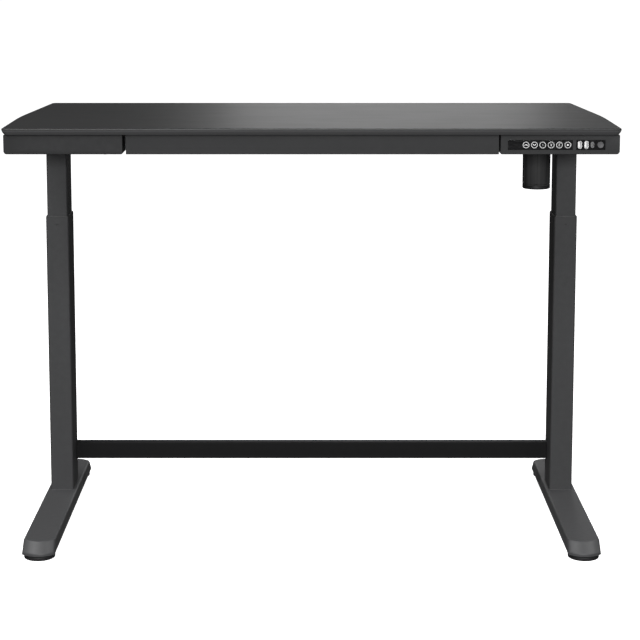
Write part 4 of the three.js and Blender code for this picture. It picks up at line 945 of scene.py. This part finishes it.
def display():
    lo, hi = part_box("display_panel")
    pane = prism(new(), "Y", rounded(lo.x, hi.x, lo.z, hi.z, 1.0 * MM, 5), lo.y, hi.y, 0.3 * MM, 0.1 * MM)
    piece("display_window", pane, GLOSS, "lift", "gloss_panel", "display_panel")
    rings, dim, bright = new(), new(), new()
    cz = (lo.z + hi.z) / 2
    for k in range(len(SYMBOLS) + 1):
        cx = lo.x + (FIRST_KEY + KEY_PITCH * k) * MM
        annulus(rings, cx, lo.y, cz, 6.4 * MM, 5.1 * MM)
        symbol(k, dim if k == 2 else bright, cx, lo.y, cz)
    piece("key_rings", rings, PRINT, "lift", "white_plastic")
    piece("key_symbols_dim", dim, GREY, "lift", "grey_plastic")
    piece("key_symbols", bright, PRINT_BRIGHT, "lift", "white_plastic")


FIRST_KEY, KEY_PITCH = 34.9, 16.2  # millimetres from the window's left edge
PRINT_BACK, PRINT_FACE = 0.02 * MM, 0.12 * MM  # print sinks into the window and stands proud of it
# (width, points) in millimetres: arrow up, arrow down, one, two, three
SYMBOLS = (
    (1.2, ((-2.6, -1.0), (0, 1.3), (2.6, -1.0))),
    (1.5, ((-2.6, 1.1), (0, -1.2), (2.6, 1.1))),
    (1.0, ((-0.7, 1.1), (0.2, 1.9), (0.2, -1.9))),
    (1.3, ((-1.1, 1.5), (0.2, 2.0), (1.1, 1.1), (-1.1, -1.7), (1.3, -1.7))),
    (1.5, ((-1.2, 1.8), (1.0, 1.8), (0, 0.3), (1.1, -0.7), (0.2, -1.8), (-1.2, -1.5))),
)


def annulus(bm, cx, y, cz, r, inner):
    """Printed ring that stands a hair proud of the window."""
    back, face = y + PRINT_BACK, y - PRINT_FACE
    corners = ((r, back), (r, face), (inner, face), (inner, back))
    skin(bm, [ring("Y", circle(cx, cz, q, 48), w) for q, w in corners], wrap=True)


def stroke(bm, cx, y, cz, points, width):
    """Printed line through points given in millimetres about the key's middle."""
    for (u0, v0), (u1, v1) in zip(points, points[1:]):
        along = Vector((u1 - u0, v1 - v0)).normalized() * width / 2
        across = Vector((-along.y, along.x))
        a, b = Vector((u0, v0)) - along * 0.6, Vector((u1, v1)) + along * 0.6
        corners = [(cx + c.x * MM, cz + c.y * MM) for c in (a + across, a - across, b - across, b + across)]
        skin(bm, [ring("Y", corners, w) for w in (y + PRINT_BACK, y - PRINT_FACE)])


def symbol(k, bm, cx, y, cz):
    """One of the symbols that are made of strokes, or a dot after the last of them."""
    if k < len(SYMBOLS):
        width, points = SYMBOLS[k]
        stroke(bm, cx, y, cz, points, width)
    else:
        dot = circle(cx, cz, 1.9 * MM, 24)
        skin(bm, [ring("Y", dot, w) for w in (y + PRINT_BACK, y - PRINT_FACE)])


def ports():
    lo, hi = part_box("port_panel")
    outline = rounded(lo.x, hi.x, lo.z, hi.z, 1.0 * MM, 5)
    holes = []
    grows = (("usb_a_port_1", 0.25), ("usb_a_port_2", 0.25), ("usb_c_port", 0.25), ("power_button", 0.3))
    for node, grow in grows:
        a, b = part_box(node)
        g = grow * MM
        r = min(b.x - a.x, b.z - a.z) / 2 + g - 0.05 * MM
        hole = rounded(a.x - g, b.x + g, a.z - g, b.z + g, r, 12)
        holes.append(prism(new(), "Y", hole, lo.y - 3 * MM, hi.y + 3 * MM))
    pane = prism(new(), "Y", outline, lo.y, hi.y, 0.3 * MM, 0.1 * MM)
    piece("socket_window", pane, GLOSS, "lift", "gloss_panel", "port_panel", cuts=holes)
    for k in (1, 2):
        usb_a(k)
    usb_c()
    button()


def shell(bm, a, b, r, wall, floor):
    """Upright socket shell, open at the front."""
    outline = rounded(a.x, b.x, a.z, b.z, r, 8)
    inside = outline(wall + 0.05 * MM)
    rings = [ring("Y", outline(0), b.y)]
    rings += [ring("Y", outline(i), a.y + q) for i, q in reversed(rim(0.3 * MM))]
    rings += [ring("Y", outline(wall), a.y), ring("Y", inside, a.y + 0.3 * MM)]
    rings.append(ring("Y", inside, b.y - floor))
    return skin(bm, rings)


def usb_a(k):
    a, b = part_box(f"usb_a_port_{k}")
    cx = (a.x + b.x) / 2
    body = shell(new(), a, b, 3.9 * MM, 0.9 * MM, 1.5 * MM)
    low, high = (a.x + 0.8 * MM, a.y + 0.4 * MM, a.z + 2.2 * MM), (cx - 0.1 * MM, b.y - MM, b.z - 2.2 * MM)
    block(body, low, high, 0.3 * MM)
    piece(f"usb_a_socket_{k}", body, WHITE, "lift", "white_plastic", f"usb_a_port_{k}")
    low, high = (cx, a.y + 1.2 * MM, a.z + 2 * MM), (b.x - 1.0 * MM, b.y - MM, b.z - 2 * MM)
    piece(f"usb_a_tongue_{k}", block(new(), low, high, 0.2 * MM), GREY, "lift", "grey_plastic")
    pins = new()
    for j in range(4):
        z = a.z + (3.4 + 2.5 * j) * MM
        block(pins, (cx - 0.25 * MM, a.y + 1.6 * MM, z), (cx + 0.1 * MM, b.y - 2 * MM, z + MM), 0.1 * MM)
    piece(f"usb_a_contacts_{k}", pins, BRASS, "lift", "brass")


def usb_c():
    a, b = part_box("usb_c_port")
    cx = (a.x + b.x) / 2
    body = shell(new(), a, b, 2.8 * MM, 0.8 * MM, 1.5 * MM)
    low = (cx - 0.4 * MM, a.y + 0.6 * MM, a.z + 2.2 * MM)
    high = (cx + 0.4 * MM, b.y - MM, b.z - 2.2 * MM)
    block(body, low, high, 0.2 * MM)
    piece("usb_c_socket", body, GREY, "lift", "grey_plastic", "usb_c_port")


def button():
    lo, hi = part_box("power_button")
    cx, _, cz = middle(lo, hi)
    r, deep = (hi.x - lo.x) / 2, (hi.y - lo.y) / MM
    profile = [(0.0003, 0.9), (r * 0.55, 0.85), (r * 0.78, 0.6), (r * 0.84, 0.1), (r * 0.9, 0)]
    profile += [(r * 0.97, 0.15), (r, 0.6), (r, 4.6), (0.002, 4.6), (0.002, deep), (0.0003, deep)]
    rings = [ring("Y", circle(cx, cz, q, 48), lo.y + w * MM) for q, w in profile]
    piece("power_key", skin(new(), rings), KEY_GREY, "button", "grey_plastic", "power_button")


# ---------------------------------------------------------------- drawer

def drawer():
    lo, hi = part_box("drawer_front")
    outline = rounded(lo.x, hi.x, lo.z, hi.z, 0.9 * MM, 4)
    front = prism(new(), "Y", outline, lo.y, hi.y, 0.8 * MM, 0.6 * MM)
    # the drawer face takes a darker copy of the powder coat: painted shade
    piece("drawer_face", front, FRONT_SHADED_PAINT, "drawer", "painted_steel", "drawer_front")
    dots = new()
    for x in (-182, 102.7):
        profile = [(0.0003, hi.z - 0.1 * MM), (2 * MM, hi.z - 0.1 * MM), (2 * MM, hi.z + 0.4 * MM)]
        profile += [(1.5 * MM, hi.z + 0.95 * MM), (0.8 * MM, hi.z + 1.15 * MM), (0.0003, hi.z + 1.2 * MM)]
        lathe(dots, x * MM, lo.y + 3 * MM, profile, 20)
    piece("drawer_bumpers", dots, RUBBER, "drawer", "black_plastic")
    tray()


def tray():
    lo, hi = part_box("drawer_tray")
    wall = 2 * MM
    bm = cup(new(), "Z", rounded(lo.x, hi.x, lo.y, hi.y, 3 * MM, 5), lo.z, hi.z, wall, wall, MM)
    split_y = lo.y + 88 * MM
    split_x = hi.x - 200 * MM
    into = wall - 0.2 * MM
    low, top = lo.z + MM, hi.z - 10 * MM
    block(bm, (lo.x + into, split_y, low), (hi.x - into, split_y + wall, top), 0.8 * MM)
    block(bm, (split_x, lo.y + into, low), (split_x + wall, hi.y - into, top), 0.8 * MM)
    piece("drawer_bin", bm, PLASTIC, "drawer", "black_plastic", "drawer_tray")
    along = [lo.x + (hi.x - lo.x) * t for t in (0.12, 0.5, 0.88)]
    spots = [(x, lo.y + wall, (lo.z + hi.z) / 2) for x in along]
    screws("drawer_screws", spots, BACK, 3 * MM, 1.8 * MM, "black_plastic", "drawer")


# ---------------------------------------------------------------- power unit

def power_unit():
    lo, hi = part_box("power_unit")
    in_lo, in_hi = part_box("mains_inlet")
    gap = 0.3 * MM
    low = (lo.x - MM, in_lo.y - gap, in_lo.z - gap)
    seat = block(new(), low, (lo.x + 18 * MM, in_hi.y + gap, in_hi.z + gap), 0.2 * MM)
    vents = []
    for k in range(9):
        x = lo.x + (60 + 14 * k) * MM
        slot = rounded(x, x + 3 * MM, lo.y + 18 * MM, hi.y - 18 * MM, 1.45 * MM, 5)
        vents.append(prism(new(), "Z", slot, lo.z - MM, lo.z + 1.6 * MM))
    body = prism(new(), "X", rounded(lo.y, hi.y, lo.z, hi.z, 4 * MM, 6), lo.x, hi.x, 2 * MM, 2 * MM)
    piece("power_supply", body, PLASTIC, "lift", "black_plastic", "power_unit", cuts=[seat, *vents])
    across = (lo.y + 10 * MM, hi.y - 10 * MM)
    spots = [(x, y, lo.z + 0.2 * MM) for x in (lo.x + 12 * MM, hi.x - 12 * MM) for y in across]
    screws("power_supply_screws", spots, DOWN, 3.4 * MM, 2 * MM, "black_plastic")


# ---------------------------------------------------------------- CAD pieces that stay

def restyle(material, *names):
    for name in names:
        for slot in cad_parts[name].material_slots:
            slot.material = material


def kept_pieces():
    for word, _ in SIDES:
        restyle(STEEL_UP, f"nut_tube_{word}")
        restyle(WHITE, f"lead_nut_{word}")
        restyle(PLASTIC, f"lower_slider_{word}")
        restyle(ZINC, f"shaft_bevel_{word}", f"ball_cage_{word}")
        # the runners take the near-black steel: painted shade in the gap above the drawer
        restyle(RUNNER_SHADE_STEEL, f"runner_outer_{word}", f"runner_inner_{word}")
    restyle(BRASS, "worm_wheel")
    restyle(STEEL_UP, "motor_worm")
    restyle(GREEN, "control_board")
    restyle(PLASTIC, "mains_inlet")


# ---------------------------------------------------------------- stage, light and camera

FLOOR_HALF = 60  # metres
SKY_STRENGTH = 0.07
# name, place, what it points at, width, height, watts
LIGHTS = (
    ("front_soft", (0, -6.5, 1.7), (0, 0, 0.5), 2.0, 1.0, 235),
    ("top_left", (-2.2, -2.2, 4.0), (0, -0.3, 0.3), 3.6, 1.2, 150),
    ("top_right", (3.1, -2.2, 4.0), (0, -0.3, 0.3), 2.4, 1.2, 85),
    ("side_left", (-2.9, 1.2, 4.6), (0, -0.2, 0.2), 2.0, 1.6, 50),
    ("side_right", (2.9, 1.2, 4.6), (0, -0.2, 0.2), 2.0, 1.6, 50),
    ("rear_card", (0.42, 6.5, 1.7), (0.2, 0, 0.8), 1.8, 1.6, 15.5),
    ("rear_glow", (0.8, 6.6, 1.7), (0.2, 0, 0.8), 3.2, 1.6, 5),
)
# the camera that was fitted to the photograph's edges
SENSOR, LENS = 36, 100.33  # millimetres
SHIFT = (0.01333, -0.2)
CAMERA_PLACE = (0, -3.6866, 1.17486)
CAMERA_TILT = 0.1334  # radians below level


def floor_material():
    m = Nodes("pale_floor")
    tone = m.mix(m.cloud(2, 2), (0.90, 0.90, 0.90), (0.92, 0.92, 0.92))
    m.set(Emission_Color=(1, 1, 1, 1), Emission_Strength=1.0)
    return m.use(tone, m.cloud(30, 2, 0.85, 0.95))


def stage():
    bm = new()
    corners = ((-1, -1), (1, -1), (1, 1), (-1, 1))
    bm.faces.new([bm.verts.new((x * FLOOR_HALF, y * FLOOR_HALF, 0)) for x, y in corners])
    floor = placed("floor", mesh_of(bm))
    floor.data.materials.append(floor_material())
    floor.visible_diffuse = False
    floor.visible_glossy = False


def soft_light(name, at, aim, width, height, power):
    data = bpy.data.lights.new(name, "AREA")
    data.shape = "RECTANGLE"
    data.size = width
    data.size_y = height
    data.energy = power
    light = placed(name, data)
    light.location = at
    light.rotation_euler = (Vector(aim) - Vector(at)).to_track_quat("-Z", "Y").to_euler()
    light.visible_camera = False


def studio():
    world = bpy.data.worlds.new("studio")
    bpy.context.scene.world = world
    world.use_nodes = True
    sky = world.node_tree.nodes["Background"]
    sky.inputs["Color"].default_value = (1, 1, 1, 1)
    sky.inputs["Strength"].default_value = SKY_STRENGTH
    for light in LIGHTS:
        soft_light(*light)
    bpy.context.scene.view_settings.view_transform = "Standard"


def camera():
    data = bpy.data.cameras.new("camera")
    data.sensor_width = SENSOR
    data.lens = LENS
    data.shift_x, data.shift_y = SHIFT
    data.clip_end = 200
    view = placed("camera", data)
    view.location = CAMERA_PLACE
    view.rotation_euler = (math.pi / 2 - CAMERA_TILT, 0, 0)
    bpy.context.scene.camera = view


# ---------------------------------------------------------------- build

camera()
desktop()
columns()
for foot_word, _ in SIDES:
    foot(foot_word)
pads()
crossbar()
brackets()
rear_rail()
gearboxes()
drive()
motor()
left_box()
right_box()
drawer()
power_unit()
kept_pieces()
stage()
studio()
